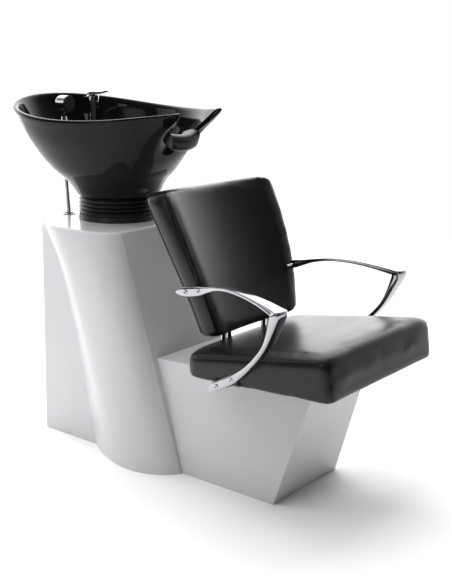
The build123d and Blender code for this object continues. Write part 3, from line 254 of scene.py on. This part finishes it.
def revolve(profile, x, y, steps=96):
    """Rings of a (radius, z) profile about a vertical axis."""
    return [
        [(x + r * cos(2 * pi * j / steps), y + r * sin(2 * pi * j / steps), z) for j in range(steps)]
        for r, z in profile
    ]


def subdivide(piece, levels=1):
    mod = piece.modifiers.new("Subdivision", "SUBSURF")
    mod.levels = mod.render_levels = levels


def squarish(value, power):
    """A sine or cosine drawn out towards a rounded square's."""
    return abs(value) ** power * (1 if value > 0 else -1)


def corner_in(radius, gap):
    """How far in an edge lies at a gap from its end, where the corner is rounded."""
    if gap >= radius:
        return 0.0
    return radius - sqrt(max(0.0, radius * radius - (radius - gap) ** 2))


def mix(a, b, t):
    return a + (b - a) * t


def between(a, b, c, d, t):
    """The Catmull-Rom value from b at t 0 to c at t 1."""
    return 0.5 * (2 * b + (c - a) * t + (2 * a - 5 * b + 4 * c - d) * t * t
                  + (3 * b - a - 3 * c + d) * t ** 3)


def catmull(rows, steps):
    """Smooth in-between rows through the given ones."""
    out = []
    for i in range(len(rows) - 1):
        p0, p1, p2, p3 = rows[max(i - 1, 0)], rows[i], rows[i + 1], rows[min(i + 2, len(rows) - 1)]
        for k in range(steps):
            t = k / steps
            out.append(tuple(between(a, b, c, d, t) for a, b, c, d in zip(p0, p1, p2, p3)))
    out.append(tuple(rows[-1]))
    return out


def tube(points, radius, sides=10):
    """Rings of a round tube along a list of points."""
    out = []
    for i, p in enumerate(points):
        a = Vector(points[max(i - 1, 0)])
        b = Vector(points[min(i + 1, len(points) - 1)])
        along = (b - a).normalized()
        side = along.cross(Vector((0.13, 0.31, 0.94))).normalized()
        up = side.cross(along)
        ring = []
        for j in range(sides):
            turn = 2 * pi * j / sides
            ring.append(tuple(Vector(p) + side * (radius * cos(turn)) + up * (radius * sin(turn))))
        out.append(ring)
    return out


# ---- wash bowl ----------------------------------------------------------------------------
# rows are z, half width in x, half length in y, centre y, and how much wider the rear is than the front
OUTSIDE = [
    (744, 119, 119, 300, 0.0), (757, 126, 127, 300, 0.0), (778, 137, 140, 302, 0.02),
    (797, 150, 157, 305, 0.03), (815, 168, 184, 309, 0.05), (853, 190, 222, 314, 0.08),
    (910, 217, 266, 310, 0.12), (965, 236, 302, 300, 0.15), (1000, 245, 324, 294.5, 0.17),
    (1045, 254, 336, 292, 0.17),
]
INSIDE = [
    (790, 20, 20, 300, 0.0), (790.4, 60, 60, 300, 0.0), (792.5, 86, 88, 301, 0.0),
    (798, 112, 115, 303, 0.0), (815, 148, 163, 308, 0.04), (853, 178, 210, 313, 0.08),
    (910, 206, 255, 310, 0.12), (965, 225, 291, 300, 0.15), (1000, 234, 313, 294.5, 0.17),
    (1050, 243, 325, 292, 0.17),
]


def section_at(table, z):
    """The section at a height, between the table's rows."""
    for low, high in zip(table, table[1:]):
        if z <= high[0]:
            t = max(0.0, (z - low[0]) / (high[0] - low[0]))
            return tuple(mix(a, b, t) for a, b in zip(low[1:], high[1:]))
    return table[-1][1:]


def egg_point(table, z, a, grow=0.0):
    """The point (x, y) of the section at height z and angle a, where 0 is the rear."""
    half_x, half_y, centre, egg = section_at(table, z)
    return (half_x + grow) * sin(a) * (1 + egg * cos(a)), centre + (half_y + grow) * cos(a)


def smooth_min(a, b, k):
    """The lesser of two values, blended over k."""
    h = max(0.0, min(1.0, 0.5 + 0.5 * (b - a) / k))
    return mix(b, a, h) - k * h * (1 - h)


def rim_at(x, y):
    """The rim's height, with the neck notch in its front."""
    u = (y - 292) / 327
    plain = 984 + 33 * u * u + 10 * u
    if y > 150:
        return plain
    notch = 922 + 12 * (x / 58) ** 2 if abs(x) < 58 else 934 + (abs(x) - 58) * 2.75
    return smooth_min(plain, notch, 9.0)


# columns round the bowl, closer together at the notch, which is at pi
bowl_angles = [a for a in (pi * (-1 + 2 * i / 110) for i in range(111)) if abs(abs(a) - pi) > 0.62]
bowl_angles += [pi + 0.6 * i / 34 for i in range(-34, 35)]
bowl_angles = sorted(a % (2 * pi) for a in bowl_angles)
FOOT_INSETS = (-72, -14, -2, 0)
WALL = -18            # from the outside to the lip's inner edge
LIP = 1.5
# (offset from the outside, height above the rim) over the rolled lip, from outside to inside
LIP_PROFILE = [(-LIP, -34), (-LIP, -26), (-0.9, -20), (-0.2, -14), (0.2, -9), (-0.3, -5), (-2.2, -1.8),
               (-5.5, -0.2), (-10.0, 0), (-14.0, -1.6), (-16.8, -5), (-17.8, -11), (WALL, -20)]


def ease(t):
    """A smooth step from 0 to 1."""
    t = max(0.0, min(1.0, t))
    return t * t * (3 - 2 * t)


def warp(p):
    """Draws the two horns forwards and the wall between them back, and widens and rolls the rim."""
    x, y, z = p
    front = ease((150 - y) / 130)
    horn = exp(-((abs(x) - 96) / 34) ** 2) * ease((z - 915) / 75)
    recess = exp(-(x / 64) ** 4) * ease((z - 845) / 85)
    grow = 1 + 0.018 * ease((z - 850) / 120)
    roll = 0.034 * x * ease((z - 820) / 130)
    return x * grow, BOWL_Y + (y - BOWL_Y) * grow + front * (24 * recess - 24 * horn), z + roll


def bowl_column(a):
    """The bowl's points at one angle, up the outside, over the lip and down the inside."""
    x, y = egg_point(OUTSIDE, 1000, a)
    rim = rim_at(x, y)
    x, y = egg_point(OUTSIDE, rim, a)
    rim = rim_at(x, y)
    column = []
    for z in (744, 744, 744, 750, 757, 768, 778, 797, 815, 834, 853):
        grow = FOOT_INSETS[min(len(column), 3)]
        column.append((*egg_point(OUTSIDE, z, a, grow), z))
    for t in (0.3, 0.6, 0.85):
        z = mix(853, rim - 34, t)
        column.append((*egg_point(OUTSIDE, z, a, -LIP * t * t), z))
    shrink = 1.0 if rim > 975 else max(0.45, 1 - (975 - rim) / 60)
    for out, down in LIP_PROFILE:
        z = rim + down * shrink
        column.append((*egg_point(OUTSIDE, min(z, rim), a, out if out > -17 else WALL), z))
    top = rim - 20 * shrink
    for t in (0.12, 0.35, 0.6, 0.85):
        z = mix(top, 853, t)
        outer = egg_point(OUTSIDE, z, a, WALL)
        inner = egg_point(INSIDE, z, a)
        keep = max(0.0, 1 - t * 3)
        column.append((mix(inner[0], outer[0], keep), mix(inner[1], outer[1], keep), z))
    for z in (853, 834, 815, 804, 798, 792.5, 790.4, 790):
        column.append((*egg_point(INSIDE, z, a), z))
    return [warp(p) for p in column]


columns = [bowl_column(a) for a in bowl_angles]
bowl_rows = [[column[i] for column in columns] for i in range(len(columns[0]))]
bowl = make("basin_glazed", *rings(bowl_rows, caps=False), glaze, "black_glaze", "basin")
subdivide(bowl, 2)

# the tap deck and its front wall
deck_path = [(626, 942), (600, 942), (560, 942), (520, 942), (480, 942), (446, 942), (434, 941.6),
             (426, 938.5), (420.5, 932), (418.4, 922), (418, 905), (418, 880), (418, 855), (418, 835),
             (418, 818), (418, 806)]
deck_rows = []
for y, z in deck_path:
    half_x, half_y, centre, egg = section_at(INSIDE, z)
    c = (y - centre) / (half_y + 2)
    width = 2.0 if c >= 1 else (half_x + 2) * sqrt(1 - c * c) * (1 + egg * c)
    deck_rows.append([(width * (2 * j / 24 - 1), y, z) for j in range(25)])
deck = make("basin_deck", *rings(deck_rows, close=False, caps=False), glaze, "black_glaze", "basin")
deck.data.flip_normals()
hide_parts("basin_bowl")

# neck rest: a rubber saddle over the notch, from its (y, z) section
SADDLE = [(6, -31), (0, -23), (-3, -8), (-1, 4), (6, 11.5), (18, 14), (34, 12), (50, 7), (62, 1), (66, -5),
          (60, -9), (46, -8), (36, -14), (24, -27), (14, -34)]
rest_rows = []
for i in range(-30, 31):
    s = i / 30
    x = 60 * s
    base = 921 + 9 * s * s + 6 * max(0.0, (abs(s) - 0.8) / 0.2) ** 2
    edge = 1 - 0.35 * max(0.0, (abs(s) - 0.86) / 0.14) ** 2
    ring = []
    for dy, dz in SADDLE:
        ring.append((x * (1 + 0.002 * dz), 27 + 6 * s * s + dy, base + dz * edge))
    rest_rows.append(ring)
rest = make("neck_saddle", *rings(rest_rows), rubber, "black_rubber", "basin")
subdivide(rest, 2)
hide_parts("neck_rest")

# ---- tap handle ---------------------------------------------------------------------------
# rows are y, half width, underside and top
HANDLE = [(475, 5, 1028.5, 1030), (471, 12, 1027, 1034), (460, 17, 1026.9, 1038), (447, 16.5, 1027, 1039),
          (434, 12.5, 1028.5, 1038.6), (420, 9.6, 1031.5, 1038.8), (405, 9.8, 1034.6, 1040.4),
          (397, 8.8, 1036.6, 1041), (394.5, 4, 1038, 1040.4)]
handle_rows = []
for y, half, low, high in catmull(HANDLE, 4):
    ring = []
    for j in range(20):
        t = 2 * pi * j / 20
        ring.append((TAP_X + half * squarish(cos(t), 0.7), y,
                     (low + high) / 2 + (high - low) / 2 * squarish(sin(t), 0.7)))
    handle_rows.append(ring)
handle = make("tap_handle", *rings(handle_rows), chrome, "polished_chrome", "tap_lever")
handle.data.flip_normals()
subdivide(handle, 1)
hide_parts("mixer_lever")

# ---- bellows ------------------------------------------------------------------------------
profile = [(110, 691.6), (118.5, 692), (119.2, 694)]
for i in range(4):
    z = 695 + 12 * i
    radius = 119.4 - 0.6 * i
    profile += [(radius, z + 1), (radius + 0.4, z + 4.5), (radius - 0.6, z + 8), (radius - 5.0, z + 9.6),
                (radius - 6.2, z + 10.6), (radius - 4.6, z + 11.8)]
profile += [(116.5, 743.4), (108, 743.6)]
gaiter = make("bellows_gaiter", *rings(revolve(profile, 0, BOWL_Y, 112), caps=False), rubber,
              "black_rubber", None)
subdivide(gaiter, 1)
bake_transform(gaiter)
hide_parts("bellows")


# ---- hoses --------------------------------------------------------------------------------
def route(points, resolution=12):
    """Points along the smooth NURBS line of a hose's route, in millimetres."""
    curve = bpy.data.curves.new("route", "CURVE")
    curve.dimensions = "3D"
    spline = curve.splines.new("NURBS")
    spline.points.add(len(points) - 1)
    for control, p in zip(spline.points, points):
        control.co = (*p, 1)
    spline.order_u = 3
    spline.use_endpoint_u = True
    spline.resolution_u = resolution
    holder = bpy.data.objects.new("route", curve)
    mesh = bpy.data.meshes.new_from_object(holder)
    line = [tuple(v.co) for v in mesh.vertices]
    bpy.data.objects.remove(holder)
    bpy.data.meshes.remove(mesh)
    return line


def evenly(points, step):
    """The same line in even steps."""
    out, left = [points[0]], step
    for a, b in zip(points, points[1:]):
        a, b = Vector(a), Vector(b)
        run = (b - a).length
        at = left
        while at < run:
            out.append(tuple(a.lerp(b, at / run)))
            at += step
        left = at - run
    out.append(points[-1])
    return out


def hose(name, node, points, radius, mat, slot, rib=0.0, pitch=4.0, sides=16):
    """A hose from the tilting basin down into the base, ribbed where rib is above 0."""
    line = evenly(route(points), pitch / 4 if rib else 8.0)
    sections = tube(line, radius, sides)
    for i, (p, ring) in enumerate(zip(line, sections)):
        swell = 1 + rib * sin(pi * (i % 4) / 2)
        sections[i] = [tuple(mix(p[k], q[k], swell) for k in range(3)) for q in ring]
    piece = make(name, *rings(sections), mat, slot, None)
    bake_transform(piece)
    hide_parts(node)


hose("waste_hose_ribbed", "waste_hose", [
    (0, 300, 739.4), (0, 302, 600), (0, 303, 470), (0, 345, 340), (0, 384, 230), (0, 384, 131)],
    20.4, hose_rubber, "grey_hose", rib=0.03, pitch=10.0, sides=28)
hose("shower_hose_wound", "shower_hose", [
    (56, 455, 901.5), (57, 456.5, 790), (56, 455.8, 676), (52, 440, 560), (60, 414, 440), (62, 402, 339.8),
    (22.2, 396, 300), (-34.2, 396, 300), (-74, 402, 339.8), (-72, 414, 440), (-64, 440, 560), (-56, 462, 676),
    (-56, 469, 800)], 5.8, chrome, "polished_chrome", rib=0.06, pitch=5.0, sides=12)
hose("hot_hose_smooth", "hot_hose", [
    (50, 465.5, 901.5), (51, 467, 790), (50, 466.5, 676), (52, 460, 540), (48, 455, 400), (51, 456, 260),
    (46, 451, 150), (46, 450.5, 64.5)], 5.0, hose_rubber, "grey_hose")
hose("cold_hose_smooth", "cold_hose", [
    (62, 465.5, 901.5), (63, 467, 790), (62, 466.5, 676), (70, 460, 540), (76, 455, 400), (76, 457, 260),
    (74, 451, 150), (74, 450.5, 64.5)], 5.0, hose_rubber, "grey_hose")


# ---- seat and backrest --------------------------------------------------------------------
CLOTH_FRAMES = 20
OUT_SHARE, ALONG_SHARE = 0.4, 0.1     # how much of a simulated move is kept, out of and along the surface
MOST_IN = 0.0005                      # metres


def inflate(piece, voxel, pressure, cap):
    """Swells a pad with a short cloth simulation: points move out by up to cap, and hardly in or along."""
    scene = bpy.context.scene
    remesh = piece.modifiers.new("Remesh", "REMESH")
    remesh.mode = "VOXEL"
    remesh.voxel_size = voxel
    bpy.context.view_layer.objects.active = piece
    for other in bpy.context.selected_objects:
        other.select_set(False)
    piece.select_set(True)
    bpy.ops.object.modifier_apply(modifier="Remesh")
    before = [(v.co.copy(), v.normal.copy()) for v in piece.data.vertices]
    cloth = piece.modifiers.new("Cloth", "CLOTH")
    cloth.settings.quality = 5
    cloth.settings.use_pressure = True
    cloth.settings.uniform_pressure_force = pressure
    cloth.settings.effector_weights.gravity = 0
    cloth.settings.tension_stiffness = cloth.settings.compression_stiffness = 15
    cloth.settings.bending_stiffness = 0.8
    cloth.collision_settings.use_collision = False
    for number in range(1, CLOTH_FRAMES + 1):
        scene.frame_set(number)
    bpy.ops.object.modifier_apply(modifier="Cloth")
    scene.frame_set(1)
    for vertex, (start, normal) in zip(piece.data.vertices, before):
        move = vertex.co - start
        out = move.dot(normal)
        along = move - normal * out
        vertex.co = start + normal * max(-MOST_IN, min(cap, OUT_SHARE * out)) + along * ALONG_SHARE
    smooth = piece.modifiers.new("Smooth", "CORRECTIVE_SMOOTH")
    smooth.factor, smooth.iterations, smooth.use_only_smooth = 0.5, 14, True
    bpy.ops.object.modifier_apply(modifier="Smooth")
    piece.data.polygons.foreach_set("use_smooth", [True] * len(piece.data.polygons))
    subdivide(piece, 1)


def seam(name, piece, points, radius, out):
    """A welt laid on a pad's surface near the given points."""
    tree = BVHTree.FromPolygons([v.co for v in piece.data.vertices],
                                [p.vertices for p in piece.data.polygons])
    path = []
    for p in points:
        near, normal, _, _ = tree.find_nearest(Vector(p) * MM)
        path.append(tuple((near + normal * out * MM) / MM))
    smooth = [path[0]]
    for a, b, c in zip(path, path[1:], path[2:]):
        smooth.append(tuple((a[k] + 2 * b[k] + c[k]) / 4 for k in range(3)))
    smooth.append(path[-1])
    make(name, *rings(tube(smooth, radius, 8)), vinyl, "black_vinyl", "base")


def seat_low(y):
    """The CAD seat's underside."""
    return 347 + 19 * (-165 - y) / 460


def seat_high(y):
    """The CAD seat's top."""
    return 392 + 78 * (-165 - y) / 441


def rounded(width, low, high, corner, crown, y_of):
    """A cross-section ring with rounded corners and a crowned top, walked from the bottom left."""
    ring = []
    for j in range(48):
        s = j / 48
        if s < 0.25:
            t = s / 0.25
            x, z = -width, mix(low, high, t)
        elif s < 0.5:
            t = (s - 0.25) / 0.25
            x, z = mix(-width, width, t), high + crown * sin(pi * t) ** 0.7
        elif s < 0.75:
            t = (s - 0.5) / 0.25
            x, z = width, mix(high, low, t)
        else:
            t = (s - 0.75) / 0.25
            x, z = mix(width, -width, t), low
        side = max(0.0, abs(x) - (width - corner)) / corner
        lift = corner * (1 - sqrt(max(0.0, 1 - side * side))) * 0.9
        if z > (low + high) / 2:
            z -= lift
        ring.append((x, y_of(z), z))
    return ring


def leaning(y, lean, low, high):
    """Where the points of a seat row lie along y: the front rows lean by up to 15 mm."""
    return lambda z: y - 15 * lean * (high - z) / (high - low)


SEAT_STEPS = 60
SEAT_REAR, SEAT_FRONT = -176, -616
SEAT_HALF = 251.0
seat_rows = []
for i in range(SEAT_STEPS + 1):
    t = i / SEAT_STEPS
    y = mix(SEAT_REAR, SEAT_FRONT, t)
    rear_gap, front_gap = SEAT_REAR + 2 - y, y - (SEAT_FRONT - 2)
    width = SEAT_HALF - corner_in(30, rear_gap) - corner_in(20, front_gap)
    low = seat_low(y) - mix(11, 5, t)
    high = seat_high(y) + mix(11, 3, t) - corner_in(22, front_gap)
    lean = max(0.0, min(1.0, (-430 - y) / 176))
    seat_rows.append(rounded(width, low, high, 8, 3, leaning(y, lean, low, high)))
seat_pad = make("seat_pad", *rings(seat_rows), vinyl, "black_vinyl", "base")
inflate(seat_pad, 0.006, 4.0, 0.0045)
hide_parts("seat_cushion")

# rows are y, z, half width, the end's lean in degrees, and how far the middle is hollowed
STATIONS = [(-233, 438, 178, 12, 12), (-209, 533, 198, 16, 22), (-178, 627, 212, 20.5, 32),
            (-138, 722, 220, 21, 38), (-92, 812, 224, 9, 40)]
TOP_CORNER, FOOT_CORNER, EDGE = 32.0, 20, 7
BACK_LENGTH = 402     # along the backrest, foot to top


def thick(station):
    """The backrest's thickness, which grows towards its top."""
    return 64 + 18 * max(0.0, min(1.0, (station[1] - 533) / 240))


def back_point(station, x, v):
    """x across the backrest, v behind its ridge."""
    y, z, _, lean, _ = station
    a = radians(lean)
    return (x, y + v * cos(a), z - v * sin(a))


def back_half(station, to_top):
    """Half the backrest's width, with its upper corners rounded."""
    return station[2] + 1 - corner_in(TOP_CORNER, to_top)


def back_ring(station, half, shrink):
    """A ring round the backrest: across the hollow front, round one side, across the rear and back."""
    hollow = station[4]
    front, rear = shrink, thick(station) - shrink
    ring = []
    for j in range(24):
        s = 2 * (j + 0.5) / 24 - 1
        ring.append(back_point(station, half * s, front + hollow * (1 - s * s)))
    for j in range(7):
        t = j / 6
        ring.append(back_point(station, half - 3 * t + 8 * sin(pi * t), mix(front, rear, t)))
    for j in range(24):
        s = 1 - 2 * (j + 0.5) / 24
        ring.append(back_point(station, (half - 3) * s, rear + hollow * (1 - s * s)))
    for j in range(7):
        t = j / 6
        ring.append(back_point(station, -(half - 3 + 3 * t) - 8 * sin(pi * t), mix(rear, front, t)))
    return ring


back_rows = []
back_stations = catmull(STATIONS, 12)
length = len(back_stations) - 1
for i, station in enumerate(back_stations):
    to_top = (length - i) / length * BACK_LENGTH
    to_foot = i / length * BACK_LENGTH
    half = back_half(station, to_top) - corner_in(FOOT_CORNER, to_foot)
    shrink = 1.5 + corner_in(EDGE, min(to_top, to_foot))
    back_rows.append(back_ring(station, half, shrink))
back_pad = make("back_pad", *rings(back_rows), vinyl, "black_vinyl", "base")
inflate(back_pad, 0.005, 4.0, 0.0045)
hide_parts("back_cushion")

# welts: rear edge of the backrest, its front ridge, the seat's upper edge and its corner seams
halves = [(station, back_half(station, (length - i) / length * BACK_LENGTH))
          for i, station in enumerate(back_stations)][2:]
for side, word in SIDES:
    rear_edge = [back_point(s, side * (h + 4), thick(s) + 2) for s, h in halves]
    seam("back_welt_rear_" + word, back_pad, rear_edge, 1.7, 0.3)
    front_edge = [back_point(s, side * (h + 6), -1) for s, h in halves]
    seam("back_welt_front_" + word, back_pad, front_edge, 1.5, 0.2)
top_station = back_stations[-1]
top_edge = []
for j in range(41):
    across = j / 20 - 1
    top_edge.append(back_point(top_station, 185 * across, thick(top_station) + 20 + 15 * (1 - across ** 2)))
seam("back_welt_top", back_pad, top_edge, 1.7, 0.3)
for side, word in SIDES:
    edge = [(side * 250, y, seat_high(y) - 4) for y in range(-205, -600, -15)]
    seam("seat_welt_side_" + word, seat_pad, edge, 1.5, 0.2)
    corner = [(side * 245, -612 - 12 * t / 10, mix(seat_high(-610) - 10, seat_low(-610), t / 10))
              for t in range(11)]
    seam("seat_corner_seam_" + word, seat_pad, corner, 1.0, 0.1)

# ---- armrests -----------------------------------------------------------------------------
# rows are the left arm's inner x, outer x, y, z, thickness and direction in degrees
ARM = [
    (-209, -212, -112, 548, 4, 72), (-207, -215, -128, 552, 19, 76), (-206, -216, -150, 556, 27, 78),
    (-206, -217, -192, 564, 25, 76), (-208, -222, -225, 573, 17, 73), (-212, -232, -262, 583, 11, 78),
    (-221, -246, -310, 590, 10, 88), (-232, -264, -370, 590, 11, 97), (-244, -281, -430, 583, 13, 105),
    (-254, -298, -484, 573, 20, 135), (-258, -304, -497, 567, 33, 162), (-257, -299, -485, 532, 22, 192),
    (-257, -291, -462, 484, 14, 208), (-256, -283, -432, 446, 14, 218), (-255, -275, -396, 410, 15, 229),
    (-254.5, -268, -364, 384, 19, 237), (-254.3, -265, -341, 368, 23, 240),
    (-254.3, -264, -293, 341, 26, 242),
    (-254.3, -262, -274, 330, 20, 244), (-256, -259, -258, 317, 4, 248),
]


def arm_ring(station, side):
    """A rounded square ring across an arm."""
    inner, outer, y, z, depth, angle = station
    a = radians(angle)
    half_x, half_t = abs(outer - inner) / 2, depth / 2
    centre = (inner + outer) / 2
    ring = []
    for j in range(24):
        t = 2 * pi * j / 24
        px = half_x * squarish(cos(t), 0.5)
        pt = half_t * squarish(sin(t), 0.5)
        ring.append((-side * (centre + px), y + pt * cos(a), z + pt * sin(a)))
    return ring[::int(-side)]


for side, word in SIDES:
    arm = make("arm_" + word, *rings([arm_ring(s, side) for s in catmull(ARM, 6)]), alloy,
               "polished_aluminium", "base")
    subdivide(arm, 1)
    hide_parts("armrest_" + word)

# (x, y, z) of the screw heads on the right arm's outer face
ARM_SCREWS = [(216.6, -150, 556), (217.2, -196, 566), (264.8, -341, 368), (264.2, -293, 341)]


def screw_head(name, x, y, z, side):
    """A cap head with a hexagonal socket, on an arm's outer face."""
    profile = [(0.3, 0.5), (2.6, 0.5), (3.0, 2.0), (5.2, 2.2), (6.4, 1.4), (6.7, 0.2), (6.7, -2.0)]
    sections = []
    for r, out in profile:
        in_socket = r < 3.1
        ring = []
        for j in range(24):
            t = 2 * pi * j / 24
            reach = r * cos(pi / 6) / cos((t % (pi / 3)) - pi / 6) if in_socket else r
            ring.append((side * (x + out), y + side * reach * cos(t), z + reach * sin(t)))
        sections.append(ring)
    make(name, *rings(sections), chrome, "polished_chrome", "base")


for side, word in SIDES:
    for number, (x, y, z) in enumerate(ARM_SCREWS, 1):
        screw_head("arm_screw_head_%s_%d" % (word, number), x, y, z, side)


# ---- studio -------------------------------------------------------------------------------
def area(name, location, target, size_x, size_y, power):
    light = bpy.data.lights.new(name, "AREA")
    light.shape, light.size, light.size_y = "RECTANGLE", size_x, size_y
    light.energy = power
    lamp = bpy.data.objects.new(name, light)
    lamp.location = location
    lamp.rotation_mode = "QUATERNION"
    lamp.rotation_quaternion = (Vector(target) - Vector(location)).to_track_quat("-Z", "Y")
    bpy.context.collection.objects.link(lamp)
    return lamp


over = area("over", (-0.4, 1.7, 3.5), (-0.4, 1.7, 0), 5.0, 4.6, 240)
over.visible_glossy = False
area("strip", (-0.6, -1.4, 3.4), (0, 0, 0.6), 0.35, 1.6, 8)
area("left_box", (-3.0, 0.2, 1.9), (0, 0.3, 0.8), 0.7, 1.7, 9)
area("rear_box", (-1.6, 3.0, 1.9), (0, 0.3, 0.8), 1.4, 1.0, 6)

# the studio: a white sweep behind the object, darker towards the photographer's side
world = bpy.data.worlds.new("studio")
bpy.context.scene.world = world
world.use_nodes = True
wtree = world.node_tree
background = wtree.nodes["Background"]


def wmath(operation, first, second):
    """A math node in the world's tree, on numbers or on other nodes' outputs."""
    node = wtree.nodes.new("ShaderNodeMath")
    node.operation = operation
    for index, value in enumerate((first, second)):
        if isinstance(value, float):
            node.inputs[index].default_value = value
        else:
            wtree.links.new(value, node.inputs[index])
    return node.outputs[0]


wcoords = wtree.nodes.new("ShaderNodeTexCoord")
wsplit = wtree.nodes.new("ShaderNodeSeparateXYZ")
wtree.links.new(wcoords.outputs["Generated"], wsplit.inputs["Vector"])
# how far a direction points away from the photographer, -1 to 1
far = wmath("ADD", wmath("MULTIPLY", wsplit.outputs["X"], 0.775),
            wmath("MULTIPLY", wsplit.outputs["Y"], 0.632))
wramp = wtree.nodes.new("ShaderNodeValToRGB")
for position, value in ((0.30, 0.04), (0.50, 0.12), (0.66, 0.40), (0.84, 2.7)):
    stop = wramp.color_ramp.elements.new(position)
    stop.color = (value, value, value * 1.02, 1)
for stop in (wramp.color_ramp.elements[-1], wramp.color_ramp.elements[0]):
    wramp.color_ramp.elements.remove(stop)
wtree.links.new(wmath("ADD", wmath("MULTIPLY", far, 0.5), 0.5), wramp.inputs["Fac"])
wtree.links.new(wramp.outputs["Color"], background.inputs["Color"])
# the camera itself sees plain white
seen = wtree.nodes.new("ShaderNodeBackground")
seen.inputs["Color"].default_value = (1, 1, 1, 1)
ray = wtree.nodes.new("ShaderNodeLightPath")
choose = wtree.nodes.new("ShaderNodeMixShader")
wtree.links.new(ray.outputs["Is Camera Ray"], choose.inputs["Fac"])
wtree.links.new(background.outputs["Background"], choose.inputs[1])
wtree.links.new(seen.outputs["Background"], choose.inputs[2])
wtree.links.new(choose.outputs["Shader"], wtree.nodes["World Output"].inputs["Surface"])

floor_mat = material("studio_floor", (0.95, 0.95, 0.95), 0.8)
disc = [(3600 * cos(2 * pi * i / 96), 200 + 3600 * sin(2 * pi * i / 96), 0) for i in range(96)]
floor = make("studio_floor", disc, [tuple(range(96))], floor_mat, None, None, smooth=False)
floor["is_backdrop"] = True

# the camera solved from the photograph
lens = bpy.data.cameras.new("camera")
lens.sensor_width, lens.lens = 36, 61.64
lens.shift_x, lens.shift_y = 0.002, 0.0524
camera = bpy.data.objects.new("camera", lens)
camera.location = (-2.1058, -1.8245, 1.1823)
camera.rotation_mode = "QUATERNION"
camera.rotation_quaternion = Vector((0.7460, 0.6085, -0.2706)).to_track_quat("-Z", "Y")
bpy.context.collection.objects.link(camera)
bpy.context.scene.camera = camera
bpy.context.scene.view_settings.view_transform = "Standard"

low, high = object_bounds()
